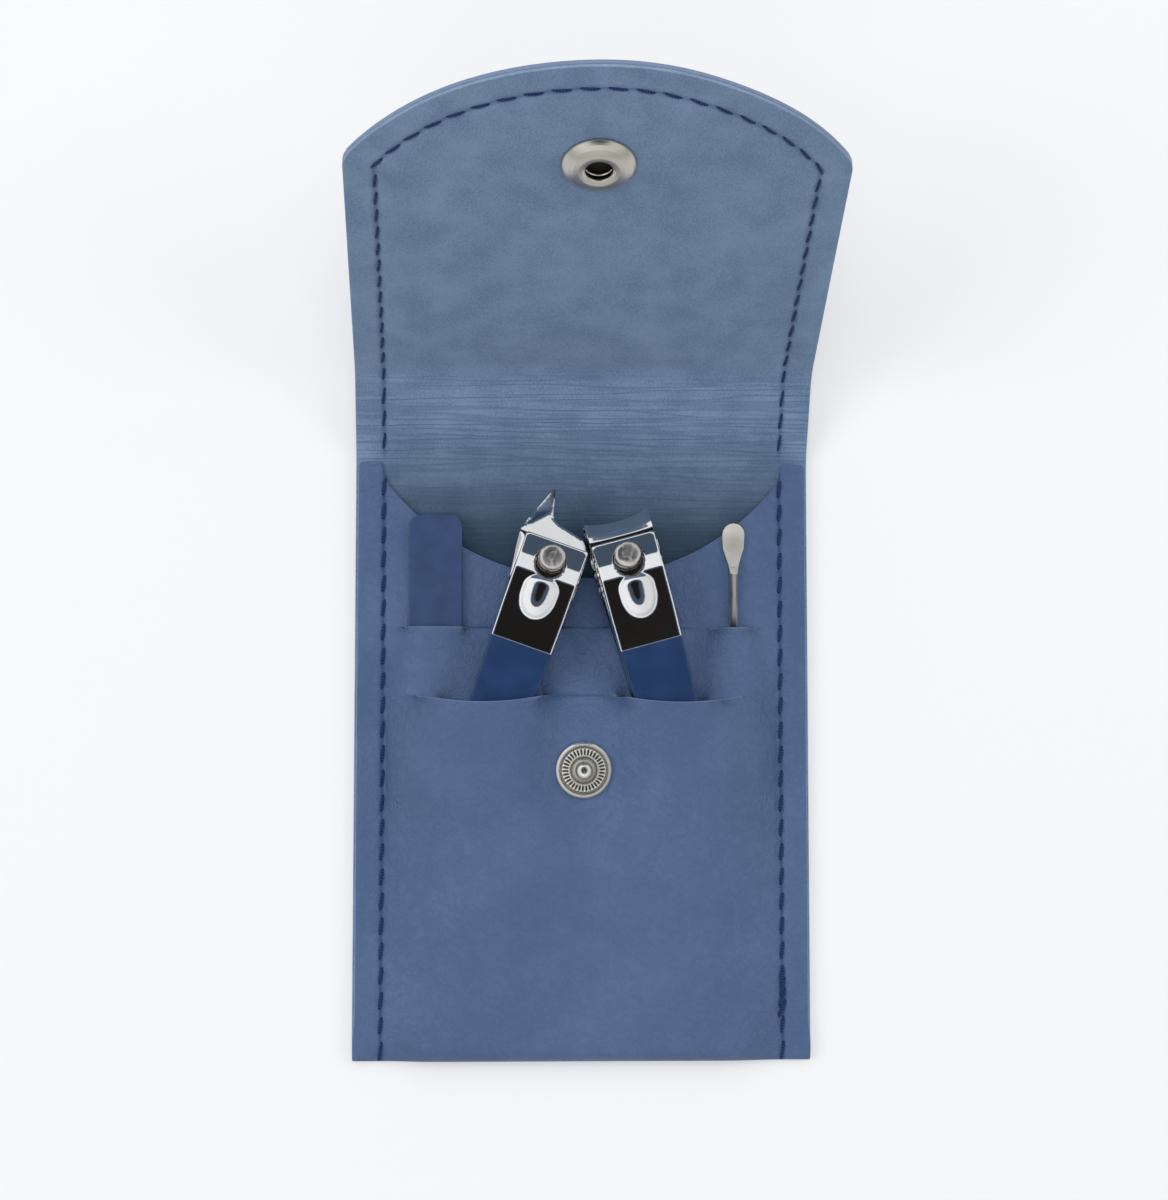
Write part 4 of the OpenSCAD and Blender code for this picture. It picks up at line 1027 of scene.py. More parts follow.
def tools_top(x, y):
    """What the panel may not sink below: the tools that lie behind it, with their clearance."""
    top = np.full(np.shape(x), LINING_TOP)
    on_file = (np.abs(x - FILE_X) < FILE_W / 2 + SEAT_GAP) & (y > SMALL_SLIT_Y + FILE_OUT - FILE_L)
    on_pick = (np.abs(x - PICK_X) < PICK_D / 2 + SEAT_GAP) & (y > SMALL_SLIT_Y + PICK_OUT - PICK_L)
    top = np.where(on_file, np.maximum(top, file_under(y) + FILE_T + SEAT_GAP), top)
    top = np.where(on_pick, np.maximum(top, pick_under(y) + PICK_D + SEAT_GAP), top)
    for post, lean, side, drift in ((LEFT_POST, LEFT_LEAN, -1, LEFT_DRIFT), (RIGHT_POST, RIGHT_LEAN, 1, 0.0)):
        u, v = ahead(x, y, post, lean), aside(x, y, post, lean) * side
        reach = LEVER_W / 2 + SEAT_GAP
        over = np.maximum(u, -TAIL_L)
        lever = CLIPPER_BASE_Z + over * math.sin(CLIPPER_TILT) + lever_under(over) + LEVER_T + SEAT_GAP
        swing = -u * math.tan(math.radians(2.0)) + drift
        on_lever = (v > -reach) & (v < reach + swing) & (u > -TAIL_L - SEAT_GAP)
        top = np.where(on_lever, np.maximum(top, lever), top)
    return top


def relax_panel():
    """Heights of the padded panel below the slits, as a skin under tension over the tools.

    Every round moves each point to the mean of its four neighbours, a little higher for the padding's push, and
    never below the tools. The seams, the fold, the slits and the pad under the snap stay where they are.
    """
    x_net = np.arange(-SEAM_X, SEAM_X + NET_STEP, NET_STEP)
    y_net = np.arange(FOLD_Y, CLIPPER_SLIT_Y + NET_STEP, NET_STEP)
    y, x = np.meshgrid(y_net, x_net, indexing="ij")
    z = packed_low_height(x, y)
    top = tools_top(x, y)
    held = (np.abs(x) > SEAM_FLAT) | (np.hypot(x, y - SNAP_Y) < STUD_R + 1.5)
    held |= (clipper_row_y(x) - y < 2.0) | (y < FOLD_Y + 0.5)
    for _ in range(NET_ROUNDS):
        mean = z.copy()
        mean[1:-1, 1:-1] = (z[:-2, 1:-1] + z[2:, 1:-1] + z[1:-1, :-2] + z[1:-1, 2:]) / 4
        z = np.where(held, z, np.maximum(top, mean + NET_PUFF))
    for _ in range(3):
        mean = z.copy()
        mean[1:-1, 1:-1] = (z[:-2, 1:-1] + z[2:, 1:-1] + z[1:-1, :-2] + z[1:-1, 2:]) / 4
        z = np.where(held, z, mean)
    print(f"padded panel: {z.shape[0]} by {z.shape[1]} net, highest at {z.max():.1f} mm")
    return z


panel_net = relax_panel()


def low_height(x, y):
    """Inner face below the clippers' slits: the relaxed skin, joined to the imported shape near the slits."""
    column = np.clip((x + SEAM_X) / NET_STEP, 0, panel_net.shape[1] - 1.001)
    row = np.clip((y - FOLD_Y) / NET_STEP, 0, panel_net.shape[0] - 1.001)
    c, r = column.astype(int), row.astype(int)
    dc, dr = column - c, row - r
    near = mix(panel_net[r, c], panel_net[r, c + 1], dc)
    far = mix(panel_net[r + 1, c], panel_net[r + 1, c + 1], dc)
    near_slit = ease(1 - (clipper_row_y(x) - y - 1.0) / 4)
    return mix(mix(near, far, dr), packed_low_height(x, y), near_slit)


def middle_height(x, y):
    """Inner face between the clippers' slits and the small tools' slits."""
    covers = strongest(file_cover(x, y), pick_cover(x, y))
    lips = LIP_OPEN * sum(arch(x, slit) for slit in SMALL_SLITS)
    z = base_height(x, y) + covers + lips * ease(1 - (SMALL_SLIT_Y - y) / 4)
    reach = FILE_W / 2 + SEAT_GAP
    over_file = plateau(x, FILE_X - reach, FILE_X + reach, 1, FILE_SLIT_MARGIN - SEAT_GAP)
    low = LINING_TOP + over_file * (file_under(y) + FILE_T + SEAT_GAP - LINING_TOP)
    return press(z, x, y, low)


def high_height(x, y):
    """Inner face above the small tools' slits, where all four tools lie on the panel."""
    z = base_height(x, y)
    at_file = plateau(x, SMALL_SLITS[0][0] + 0.2, SMALL_SLITS[0][1] - 0.2, 2, 2)
    at_pick = plateau(x, SMALL_SLITS[1][0] + 0.2, SMALL_SLITS[1][1] - 0.2, 2, 2)
    z = mix(z, file_under(y) - SEAT_GAP - LEATHER_T, at_file)
    z = mix(z, pick_under(y) - SEAT_GAP - LEATHER_T, at_pick)
    return np.minimum(z, press(z, x, y))


def slit_distance(x, y, slits, row_y):
    """Distance to the nearest slit, whose ends are points."""
    nearest = np.full(np.shape(x), 99.0)
    for low, high in slits:
        beyond = np.maximum(np.maximum(low - x, x - high), 0.0)
        nearest = np.minimum(nearest, np.hypot(beyond, y - row_y))
    return nearest


def panel_border(x, y):
    border = np.minimum(FRONT_HALF_W - np.abs(x), np.maximum(mouth_edge_y(x) - y, 0.0))
    border = np.minimum(border, slit_distance(x, y, CLIPPER_SLITS, clipper_row_y(x)))
    return np.maximum(np.minimum(border, slit_distance(x, y, SMALL_SLITS, SMALL_SLIT_Y)), 0.0)


def panel_puckers(x, y):
    """What the seams do to the hide: a groove under the thread and small tucks beside each stitch."""
    from_seam = np.abs(x) - SEAM_X
    groove = -0.26 * np.exp(-((from_seam / 0.55) ** 2)) * ease((y - FOLD_Y) / 3)
    tucks = np.sin(2 * math.pi * y / STITCH_PITCH + np.sin(y / 7.0)) * np.exp(-(((from_seam + 2.4) / 1.9) ** 2))
    inside = ease((SEAM_X - 2 - np.abs(x)) / 10)
    waves = soft_noise(x, y, 11, 7, 24.0, 0.10) + soft_noise(x * 1.3, y, 12, 7, 9.0, 0.03)
    below_slit = np.clip(CLIPPER_SLIT_Y - 2 - y, 0, 30)
    pull = np.exp(-below_slit / 9.0) * ease(below_slit / 3) * np.sin((x + 0.25 * y) * 2 * math.pi / 7.5)
    fold_pinch = ease((FOLD_Y + 9 - y) / 9) * ease((8 - np.abs(from_seam + 4)) / 8)
    return groove + 0.06 * tucks + inside * (waves + 0.07 * pull) - 0.35 * fold_pinch


PANEL_STEP = 0.7
FOLD_TURNS = 14


SMOOTH_ROUNDS = 26


def smooth_panel(inner, outer, border, seams):
    """Irons out the hard lines where two formulas meet, away from slits, cut edges, seams and the stud.

    Each round moves a height half-way to its neighbours' mean. A doubled row is passed over where it is closed.
    """
    x, y, z = inner[..., 0], inner[..., 1], inner[..., 2].copy()
    free = ease((border - 0.4) / 1.3) * ease((SEAM_FLAT + 0.4 - np.abs(x)) / 1.0)
    free = free * ease((np.hypot(x, y - SNAP_Y) - STUD_R - 1.0) / 2.0) * (y > FOLD_Y + 0.3)
    for _ in range(SMOOTH_ROUNDS):
        before, after = np.roll(z, 1, axis=0), np.roll(z, -1, axis=0)
        for start, shut in seams:
            after[start - 1] = np.where(shut, z[start + 1], after[start - 1])
            before[start] = np.where(shut, z[start - 2], before[start])
        mean = (before + after + np.roll(z, 1, axis=1) + np.roll(z, -1, axis=1)) / 4
        z = z + 0.5 * free * (mean - z)
    moved = z - inner[..., 2]
    inner[..., 2] += moved
    outer[..., 2] += moved
    print(f"ironed lines: heights moved by up to {np.abs(moved).max():.2f} mm")


def make_front_panel():
    low_x, high_x = -FRONT_HALF_W, FRONT_HALF_W
    knots = np.sort([low_x, high_x, *np.ravel(CLIPPER_SLITS), *np.ravel(SMALL_SLITS)])
    columns = [spread(a, b, PANEL_STEP, a == low_x, b == high_x)[:-1] for a, b in zip(knots[:-1], knots[1:])]
    x_line = np.concatenate([*columns, [high_x]])
    x_line = with_seams(x_line)
    turns = np.linspace(-math.pi / 2, math.pi / 2, FOLD_TURNS + 1)[:-1]
    low_share = spread(0.0, 60.6, PANEL_STEP, False, True) / 60.6
    middle_share = spread(0.0, 12.2, PANEL_STEP) / 12.2
    high_share = spread(0.0, 14.0, PANEL_STEP) / 14.0

    rows_inner, rows_outer, rows_border, rows_flat = [], [], [], []
    puff = panel_puckers(x_line, np.full_like(x_line, FOLD_Y))
    tall = low_height(x_line, np.full_like(x_line, FOLD_Y)) + LEATHER_T + puff
    for turn in turns:
        for skin, rows in ((0.0, rows_outer), (LEATHER_T, rows_inner)):
            y = FOLD_Y - (FOLD_D - skin) * math.cos(turn) * np.ones_like(x_line)
            rows.append(np.stack([x_line, y, tall / 2 + (tall / 2 - skin) * math.sin(turn)], axis=-1))
        rows_border.append(FRONT_HALF_W - np.abs(x_line))

    row = clipper_row_y(x_line)
    in_clipper = sum((x_line > a + 0.005) & (x_line < b - 0.005) for a, b in CLIPPER_SLITS) > 0
    in_small = sum((x_line > a + 0.005) & (x_line < b - 0.005) for a, b in SMALL_SLITS) > 0
    spans = (
        (low_share, FOLD_Y * np.ones_like(x_line), row, low_height, in_clipper),
        (middle_share, row, SMALL_SLIT_Y * np.ones_like(x_line), middle_height, in_small),
        (high_share, SMALL_SLIT_Y * np.ones_like(x_line), mouth_edge_y(x_line), high_height, in_small),
    )
    starts = []
    for shares, y_from, y_to, height, _ in spans:
        starts.append(len(rows_outer))
        for share in shares:
            y = mix(y_from, y_to, share)
            z = height(x_line, y) + panel_puckers(x_line, y) + strip_rise(y)
            rows_inner.append(np.stack([x_line, y, z], axis=-1))
            rows_outer.append(np.stack([x_line, y, z + LEATHER_T], axis=-1))
            rows_border.append(panel_border(x_line, y))
    inner, outer, border = np.stack(rows_inner), np.stack(rows_outer), np.stack(rows_border)

    ids = np.arange(inner.shape[0] * inner.shape[1]).reshape(inner.shape[:2])
    skips = []
    for start, open_columns in ((starts[1], in_clipper), (starts[2], in_small)):
        ids[start] = np.where(open_columns, ids[start], ids[start - 1])
        for grid in (inner, outer):
            grid[start] = np.where(open_columns[:, None], grid[start], grid[start - 1])
        skips.append(start - 1)
    closed = ~np.stack([in_clipper, in_small])
    smooth_panel(inner, outer, border, list(zip(starts[1:], closed)))
    for grid in (inner, outer):
        grid[..., 0] *= 1 + 0.35 / FRONT_HALF_W * ease((FOLD_Y + 5 - grid[..., 1]) / 5)
    outer, inner = round_edges(outer, inner, border)
    # This mark paints shade along the groove of each side seam.
    groove_shade = np.exp(-(((np.abs(outer[..., 0]) - SEAM_X) / 0.34) ** 2))
    made = make_sheet("front_panel_hide", outer, inner, border, ids, skips, marks={"groove_shade": groove_shade})
    made.data.materials.append(leather)
    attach(made, "pouch")
    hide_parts("front_panel")
    return made


def strip_rise(y):
    """How far the lining has risen at y because its first crease is rounded."""
    return math.sin(SPINE_ANGLE) * soft_ramp(y - TOP_Y)


make_front_panel()

# %% [markdown]
# ## Stitching
# A stitch is a short tube of thread whose ends sink into the hide. Its path is a shallow arch, turned a little
# across the seam because the thread lies at a slant.

# %% Stitching
STITCH_SLANT = 0.24
PANEL_STITCH_L = 3.3
FLAP_STITCH_L = 3.7
TUBE_SIDES, TUBE_STEPS = 8, 9


def tube(path, radius):
    """Points and faces of a closed tube along a path of points."""
    along = np.gradient(path, axis=0)
    along /= np.linalg.norm(along, axis=1, keepdims=True)
    helper = np.where(np.abs(along[:, 2:3]) < 0.9, np.array([[0.0, 0, 1]]), np.array([[1.0, 0, 0]]))
    side = np.cross(along, helper)
    side /= np.linalg.norm(side, axis=1, keepdims=True)
    up = np.cross(side, along)
    turn = np.linspace(0, 2 * math.pi, TUBE_SIDES, endpoint=False)
    ring = np.cos(turn)[None, :, None] * side[:, None] + np.sin(turn)[None, :, None] * up[:, None]
    points = path[:, None] + radius * ring
    steps = len(path)
    ids = np.arange(steps * TUBE_SIDES).reshape(steps, TUBE_SIDES)
    ids = np.concatenate([ids, ids[:, :1]], axis=1)
    quads = grid_cells(ids).reshape(-1, 4)[:, ::-1]
    caps = np.array([ids[0, :-1], ids[-1, :-1][::-1]])
    return points.reshape(-1, 3), quads, caps


def make_stitches(name, centres, directions, ups, length, radius):
    """One object of many stitches. Each has a centre, a direction along the seam and a normal of the surface."""
    points, quads, caps, strands = [], [], [], []
    t = np.linspace(-1, 1, TUBE_STEPS)
    for centre, direction, up in zip(centres, directions, ups):
        across = np.cross(direction, up)
        path = centre + np.outer(t * length / 2, direction) + np.outer(t * STITCH_SLANT, across)
        path = path + np.outer(radius * 0.8 - 0.62 * np.abs(t) ** 3, up)
        made_points, made_quads, made_caps = tube(path, radius)
        offset = sum(len(p) for p in points)
        points.append(made_points)
        quads.append(made_quads + offset)
        caps.append(made_caps + offset)
        turn = np.tile(np.arange(TUBE_SIDES) / TUBE_SIDES, TUBE_STEPS)
        strands.append(np.repeat(t * length / 0.9, TUBE_SIDES) + turn)
    made = link_mesh(name, np.concatenate(points), [np.concatenate(quads), np.concatenate(caps)])
    add_float(made, "strand", np.concatenate(strands))
    made.data.materials.append(thread)
    print(f"{name}: {len(centres)} stitches")
    return made


def run_places(start, end):
    count = int((end - start - STITCH_L) / STITCH_PITCH)
    return start + STITCH_L / 2 + np.arange(count + 1) * STITCH_PITCH


def seam_on_panel(side):
    """The seam up one side of the front panel, with a few doubled stitches where the right one was started."""
    y = run_places(FOLD_Y - 2.4, TOP_Y - 3)
    into_fold = np.clip((FOLD_Y - y) / FOLD_D, 0.0, 1.0)
    z = LINING_TOP + LEATHER_T + panel_puckers(SEAM_X, y) + strip_rise(y)
    z = z / 2 * (1 + np.sqrt(1 - into_fold**2))
    centres = np.stack([np.full_like(y, side * SEAM_X), y, z], axis=-1)
    directions = np.tile([0.0, 1.0, 0.0], (len(y), 1))
    if side > 0:
        extra = np.array([BACKTACK_Y + k * 1.9 for k in range(4)])
        tangle = np.stack([side * SEAM_X + 0.35 * np.sin(extra * 5), extra, np.full(4, z[0] + 0.22)], axis=-1)
        centres = np.concatenate([centres, tangle])
        lean = np.stack([0.25 * np.cos(extra * 3), np.ones(4), np.zeros(4)], axis=-1)
        directions = np.concatenate([directions, lean / np.linalg.norm(lean, axis=1, keepdims=True)])
    return centres, directions, np.tile([0.0, 0.0, 1.0], (len(centres), 1))


BACKTACK_Y = -44.0


def strip_stitches(places):
    """Centres, directions and normals of stitches at places (x, s) with a turn from the s direction."""
    centres, directions, ups = [], [], []
    for x, s, turn in places:
        at = on_strip(x, np.float64(s), -stitch_groove(x, np.float64(s)) + strip_wrinkles(x, np.float64(s)))
        ahead_of = on_strip(x, np.float64(s + 0.1), 0.0) - on_strip(x, np.float64(s), 0.0)
        ahead_of /= np.linalg.norm(ahead_of)
        centres.append(at)
        directions.append(math.cos(turn) * ahead_of + math.sin(turn) * np.array([1.0, 0, 0]))
        ups.append(np.cross([1.0, 0, 0], ahead_of))
    return np.array(centres), np.array(directions), np.array(ups)


def flap_seam_places():
    """Stitches up one side of the spine and flap, round the end and down the other side, evenly spaced."""
    path_r, corner_r = FLAP_END_R - SEAM_INSET, FLAP_CORNER_R - SEAM_INSET
    right = np.linspace(0.0, CORNER_TURN, 7)
    corner = np.stack([CORNER_X + corner_r * np.cos(right), CORNER_S + corner_r * np.sin(right)], axis=-1)
    arc = np.linspace(CORNER_TURN, math.pi / 2, 40)
    end = np.stack([path_r * np.cos(arc), END_CENTRE + path_r * np.sin(arc)], axis=-1)
    half = np.concatenate([[[SEAM_X, 1.2]], corner, end[1:]])
    path = np.concatenate([half, half[::-1][1:] * [-1, 1]])
    along = np.concatenate([[0.0], np.cumsum(np.linalg.norm(np.diff(path, axis=0), axis=1))])
    count = round(along[-1] / STITCH_PITCH)
    places = []
    for k in range(count):
        here, soon = [
            np.array([np.interp(along[-1] * (k + part) / count, along, path[:, axis]) for axis in (0, 1)])
            for part in (0.4, 0.6)
        ]
        dx, ds = soon - here
        places.append((*((here + soon) / 2), math.atan2(dx, ds)))
    return places


def make_stitching():
    for side, word in ((-1, "left"), (1, "right")):
        made = make_stitches(f"{word}_seam_thread", *seam_on_panel(side), PANEL_STITCH_L, THREAD_R)
        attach(made, "pouch")
        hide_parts(f"{word}_side_stitching")
    places = flap_seam_places()
    near = [p for p in places if p[1] < SPINE_MIDDLE]
    far = [p for p in places if p[1] >= SPINE_MIDDLE]
    lower = make_stitches("spine_seam_thread", *strip_stitches(near), FLAP_STITCH_L, THREAD_R * 0.8)
    upper = make_stitches("flap_seam_thread", *strip_stitches(far), FLAP_STITCH_L, THREAD_R * 0.8)
    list(low_joint)
    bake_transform(lower)
    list(high_joint)
    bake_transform(upper)
    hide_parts("spine_stitching")
    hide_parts("spine_stitching", "flap_stitching")


make_stitching()

# %% [markdown]
# ## Metals
# Nickel and steel are bright mirrors with faint rubbing marks. The levers' tails are painted navy from a straight
# line behind the post, which each lever keeps in an attribute that says how far ahead of its post a point is.

# %% Metals
PAINT_START = -16.0


def make_metal(name, colour, roughness, stretch=14.0, mark_size=0.0009, bump=0.02):
    material, tree, shader = start_material(name)
    marks = use_group(tree, scratch_group, Mark_Size=mark_size, Stretch=stretch)
    join(tree, object_place(tree), marks.inputs["Vector"])
    dull = tuple(c * 0.9 for c in colour)
    join(tree, mix_colour(tree, marks.outputs["Cloud"], colour, dull), shader.inputs["Base Color"])
    shader.inputs["Metallic"].default_value = 1.0
    join(tree, ramp(tree, marks.outputs["Cloud"], 0.3, 0.7, roughness, roughness * 1.5), shader.inputs["Roughness"])
    add_bump(tree, shader, marks.outputs["Height"], bump, 0.00005)
    return material


def make_toned_metal(name, colour, dark, roughness):
    """A metal, duller where the piece's mark is 1 and darker there as painted reflection on a ground face and painted
    shade in a deep recess.
    """
    material, tree, shader = start_material(name)
    marks = use_group(tree, scratch_group, Mark_Size=0.0009, Stretch=14.0)
    join(tree, object_place(tree), marks.inputs["Vector"])
    plain = mix_colour(tree, marks.outputs["Cloud"], colour, tuple(c * 0.88 for c in colour))
    ground = attribute(tree, "ground")
    # The dark colour is painted: a dark reflection on a ground face, shade in a recess.
    join(tree, mix_colour(tree, ground, plain, dark), shader.inputs["Base Color"])
    shader.inputs["Metallic"].default_value = 1.0
    join(tree, ramp(tree, ground, 0.0, 1.0, roughness, roughness + 0.28), shader.inputs["Roughness"])
    add_bump(tree, shader, marks.outputs["Height"], 0.02, 0.00005)
    return material


def make_painted_lever():
    """Polished steel ahead of the paint line and glossy navy enamel behind it."""
    material, tree, shader = start_material("painted_lever")
    marks = use_group(tree, scratch_group, Mark_Size=0.0009, Stretch=10.0)
    join(tree, object_place(tree), marks.inputs["Vector"])
    along = add_node(tree, "ShaderNodeAttribute", attribute_name="along")
    paint = ramp(tree, along.outputs["Fac"], PAINT_START - 0.12, PAINT_START + 0.12, 1.0, 0.0)
    speck = ramp(tree, marks.outputs["Cloud"], 0.35, 0.7)
    enamel = mix_colour(tree, speck, (0.006, 0.027, 0.090), (0.010, 0.035, 0.114))
    steel = mix_colour(tree, marks.outputs["Cloud"], (0.72, 0.73, 0.75), (0.64, 0.65, 0.67))
    join(tree, mix_colour(tree, paint, steel, enamel), shader.inputs["Base Color"])
    join(tree, math_node(tree, "SUBTRACT", 1.0, paint), shader.inputs["Metallic"])
    join(tree, ramp(tree, paint, 0.0, 1.0, 0.07, 0.38), shader.inputs["Roughness"])
    join(tree, math_node(tree, "MULTIPLY", paint, 0.3), shader.inputs["Coat Weight"])
    shader.inputs["Specular IOR Level"].default_value = 0.3
    shader.inputs["Coat Roughness"].default_value = 0.12
    height = math_node(tree, "MULTIPLY_ADD", paint, 1.0, math_node(tree, "MULTIPLY", marks.outputs["Height"], 0.15))
    add_bump(tree, shader, height, 0.25, 0.0001)
    return material


def make_file_paint():
    """The file's handle is the same navy; its blade below the slit is grey grit."""
    material, tree, shader = start_material("navy_paint")
    marks = use_group(tree, scratch_group, Mark_Size=0.0012, Stretch=8.0)
    join(tree, object_place(tree), marks.inputs["Vector"])
    along = add_node(tree, "ShaderNodeAttribute", attribute_name="along")
    grit_mask = ramp(tree, along.outputs["Fac"], -38.4, -38.0, 1.0, 0.0)
    grit = add_node(tree, "ShaderNodeTexNoise", in_Scale=6000.0, in_Detail=2.0)
    join(tree, object_place(tree), grit.inputs["Vector"])
    speck = ramp(tree, marks.outputs["Cloud"], 0.3, 0.7)
    navy = mix_colour(tree, speck, (0.020, 0.046, 0.122), (0.028, 0.060, 0.154))
    stone = mix_colour(tree, grit.outputs[0], (0.22, 0.23, 0.25), (0.62, 0.64, 0.66))
    join(tree, mix_colour(tree, grit_mask, navy, stone), shader.inputs["Base Color"])
    join(tree, ramp(tree, grit_mask, 0.0, 1.0, 0.33, 0.62), shader.inputs["Roughness"])
    shader.inputs["Coat Weight"].default_value = 0.25
    rough = math_node(tree, "MULTIPLY", grit.outputs[0], grit_mask)
    add_bump(tree, shader, math_node(tree, "MULTIPLY_ADD", marks.outputs["Height"], 0.1, rough), 0.3, 0.0001)
    return material


nickel = make_metal("bright_nickel", (0.78, 0.79, 0.80), 0.10)
# The dark colours of the leaf, stud and socket are painted reflection and shade: on the leaf's ground face, in the
# stud's recess and flutes, in the socket's hole.
leaf_steel = make_toned_metal("leaf_steel", (0.68, 0.69, 0.70), (0.15, 0.20, 0.27), 0.07)
stud_nickel = make_toned_metal("stud_nickel", (0.72, 0.705, 0.65), (0.035, 0.030, 0.022), 0.24)
socket_nickel = make_toned_metal("socket_nickel", (0.56, 0.54, 0.48), (0.030, 0.026, 0.020), 0.32)
wire = make_metal("spring_wire", (0.62, 0.60, 0.56), 0.18)
satin = make_metal("satin_steel", (0.82, 0.79, 0.72), 0.4, stretch=5.0, bump=0.05)
peened = make_metal("peened_steel", (0.60, 0.57, 0.55), 0.27, stretch=1.0, mark_size=0.0008, bump=0.3)
lever_paint = make_painted_lever()
file_paint = make_file_paint()

# %% [markdown]
# ## Pressed plates
# Levers and leaves are plates: an outline with holes, a top and an underside. The outline is cut from a grid by
# keeping the cells whose middle is inside it, and then moving the points on the rim onto the outline itself.

# %% Pressed plates


def nearest_on(points, outline):
    """The nearest point of a closed outline to each point, and its distance."""
    start, end = outline, np.roll(outline, -1, axis=0)
    edge = end - start
    offset = points[:, None] - start[None]
    share = np.clip((offset * edge).sum(-1) / np.maximum((edge**2).sum(-1), 1e-12), 0, 1)
    foot = start[None] + share[..., None] * edge[None]
    gap = np.linalg.norm(points[:, None] - foot, axis=-1)
    best = gap.argmin(axis=1)
    rows = np.arange(len(points))
    return foot[rows, best], gap[rows, best]


def inside_outline(points, outline):
    """Whether each point lies inside a closed outline, by counting the edges that a ray crosses."""
    x, y = points[:, None, 0], points[:, None, 1]
    x0, y0 = outline[None, :, 0], outline[None, :, 1]
    x1, y1 = np.roll(outline, -1, axis=0)[None, :, 0], np.roll(outline, -1, axis=0)[None, :, 1]
    with np.errstate(divide="ignore", invalid="ignore"):
        crosses = ((y0 > y) != (y1 > y)) & (x < x0 + (y - y0) * (x1 - x0) / (y1 - y0))
    return crosses.sum(axis=1) % 2 == 1


def circle(radius, u=0.0, count=48):
    turn = np.linspace(0, 2 * math.pi, count, endpoint=False)
    return np.stack([radius * np.cos(turn), u + radius * np.sin(turn)], axis=-1)


def make_plate(name, outline, holes, half_width, u_rows, top, under, material, matrix, edge=0.25, ground=None):
    """A plate in a clipper's own u, v, w. half_width gives the grid's reach at u, which the sides then follow."""
    t = spread(-1.0, 1.0, 0.05, False, False)
    rim = np.array([0.0, 0.02, 0.05]) * 0.25 / edge
    t = np.unique(np.round(np.concatenate([t, -1 + rim, 1 - rim]), 6))
    u = u_rows[:, None] * np.ones(len(t))
    v = half_width(u) * t[None]
    flat = np.stack([v, u], axis=-1)
    centre = (flat[:-1, :-1] + flat[:-1, 1:] + flat[1:, 1:] + flat[1:, :-1]).reshape(-1, 2) / 4
    keep = inside_outline(centre, outline)
    for hole in holes:
        keep &= ~inside_outline(centre, hole)
    keep = keep.reshape(len(u_rows) - 1, len(t) - 1)
    touching = np.zeros(flat.shape[:2], int)
    for dr in (0, 1):
        for dc in (0, 1):
            touching[dr:dr + keep.shape[0], dc:dc + keep.shape[1]] += keep
    rims = [outline, *holes]
    points = flat.reshape(-1, 2)
    feet, gaps = zip(*[nearest_on(points, r) for r in rims])
    gaps = np.array(gaps)
    best = gaps.argmin(axis=0)
    on_rim = ((touching > 0) & (touching < 4)).ravel()
    points[on_rim] = np.array(feet)[best, np.arange(len(points))][on_rim]
    border = np.where(on_rim, 0.0, gaps.min(axis=0)).reshape(u.shape)
    v, u = points[:, 0].reshape(u.shape), points[:, 1].reshape(u.shape)
    face = np.stack([v, u, top(u, v)], axis=-1)
    back = np.stack([v, u, under(u, v)], axis=-1)
    middle, full = (face + back) / 2, edge_fullness(border * EDGE_R / edge)[..., None]
    face, back = middle + (face - middle) * full, middle + (back - middle) * full
    own = np.array(matrix)
    face, back = (g @ own[:3, :3].T / MM + own[:3, 3] / MM for g in (face, back))
    # A ground face's mark makes it duller and paints a dark reflection on it.
    marks = {"along": u} if ground is None else {"along": u, "ground": ground(u, v) * ease((border - 0.1) / 0.1)}
    made = make_sheet(name, face, back, border, keep=keep, marks=marks)
    made.data.materials.append(material)
    return made


# %% [markdown]
# ## Clippers' levers
# A lever is a bent plate. It slopes down to the jaws ahead of a raised crease, has a keyhole round the post's neck,
# and behind the crease a pressed bullet that stiffens it.

# %% Clippers' levers
LEVER_FRONT = 2.9
TAIL_ROUND = LEVER_W / 2 - 0.6
LEVER_TAIL_U = TAIL_ROUND - TAIL_L
BULLET_U, BULLET_HALF, BULLET_H = -6.3, 3.1, 0.95
CREASE_KNOTS_U = [-46.0, -3.7, -1.0, 2.9]
CREASE_KNOTS_W = [-2.32, 0.6, -0.22, -0.93]


def lever_half(u):
    return np.interp(u, [LEVER_TAIL_U, -LEVER_CREASE - 6], [TAIL_ROUND, LEVER_W / 2])


def lever_outline():
    turn = np.linspace(math.pi, 2 * math.pi, 25)
    tail = np.stack([TAIL_ROUND * np.cos(turn), LEVER_TAIL_U + TAIL_ROUND * np.sin(turn)], axis=-1)
    half = LEVER_W / 2
    head = [[half, -LEVER_CREASE - 6], [half, LEVER_FRONT - 0.3], [half - 0.3, LEVER_FRONT]]
    return np.concatenate([tail, head, [[-x, u] for x, u in head[::-1]]])


def keyhole():
    """The two circles of the keyhole as one outline."""
    near, far, back = 1.6, 2.5, -1.2
    meet_u = (back**2 - far**2 + near**2) / (2 * back)
    small = math.acos(meet_u / near)
    large = math.acos((meet_u - back) / far)
    front = [[near * math.sin(a), near * math.cos(a)] for a in np.linspace(-small, small, 14)]
    rear = [[far * math.sin(a), back + far * math.cos(a)] for a in np.linspace(large, 2 * math.pi - large, 34)]
    return np.array(front + rear)


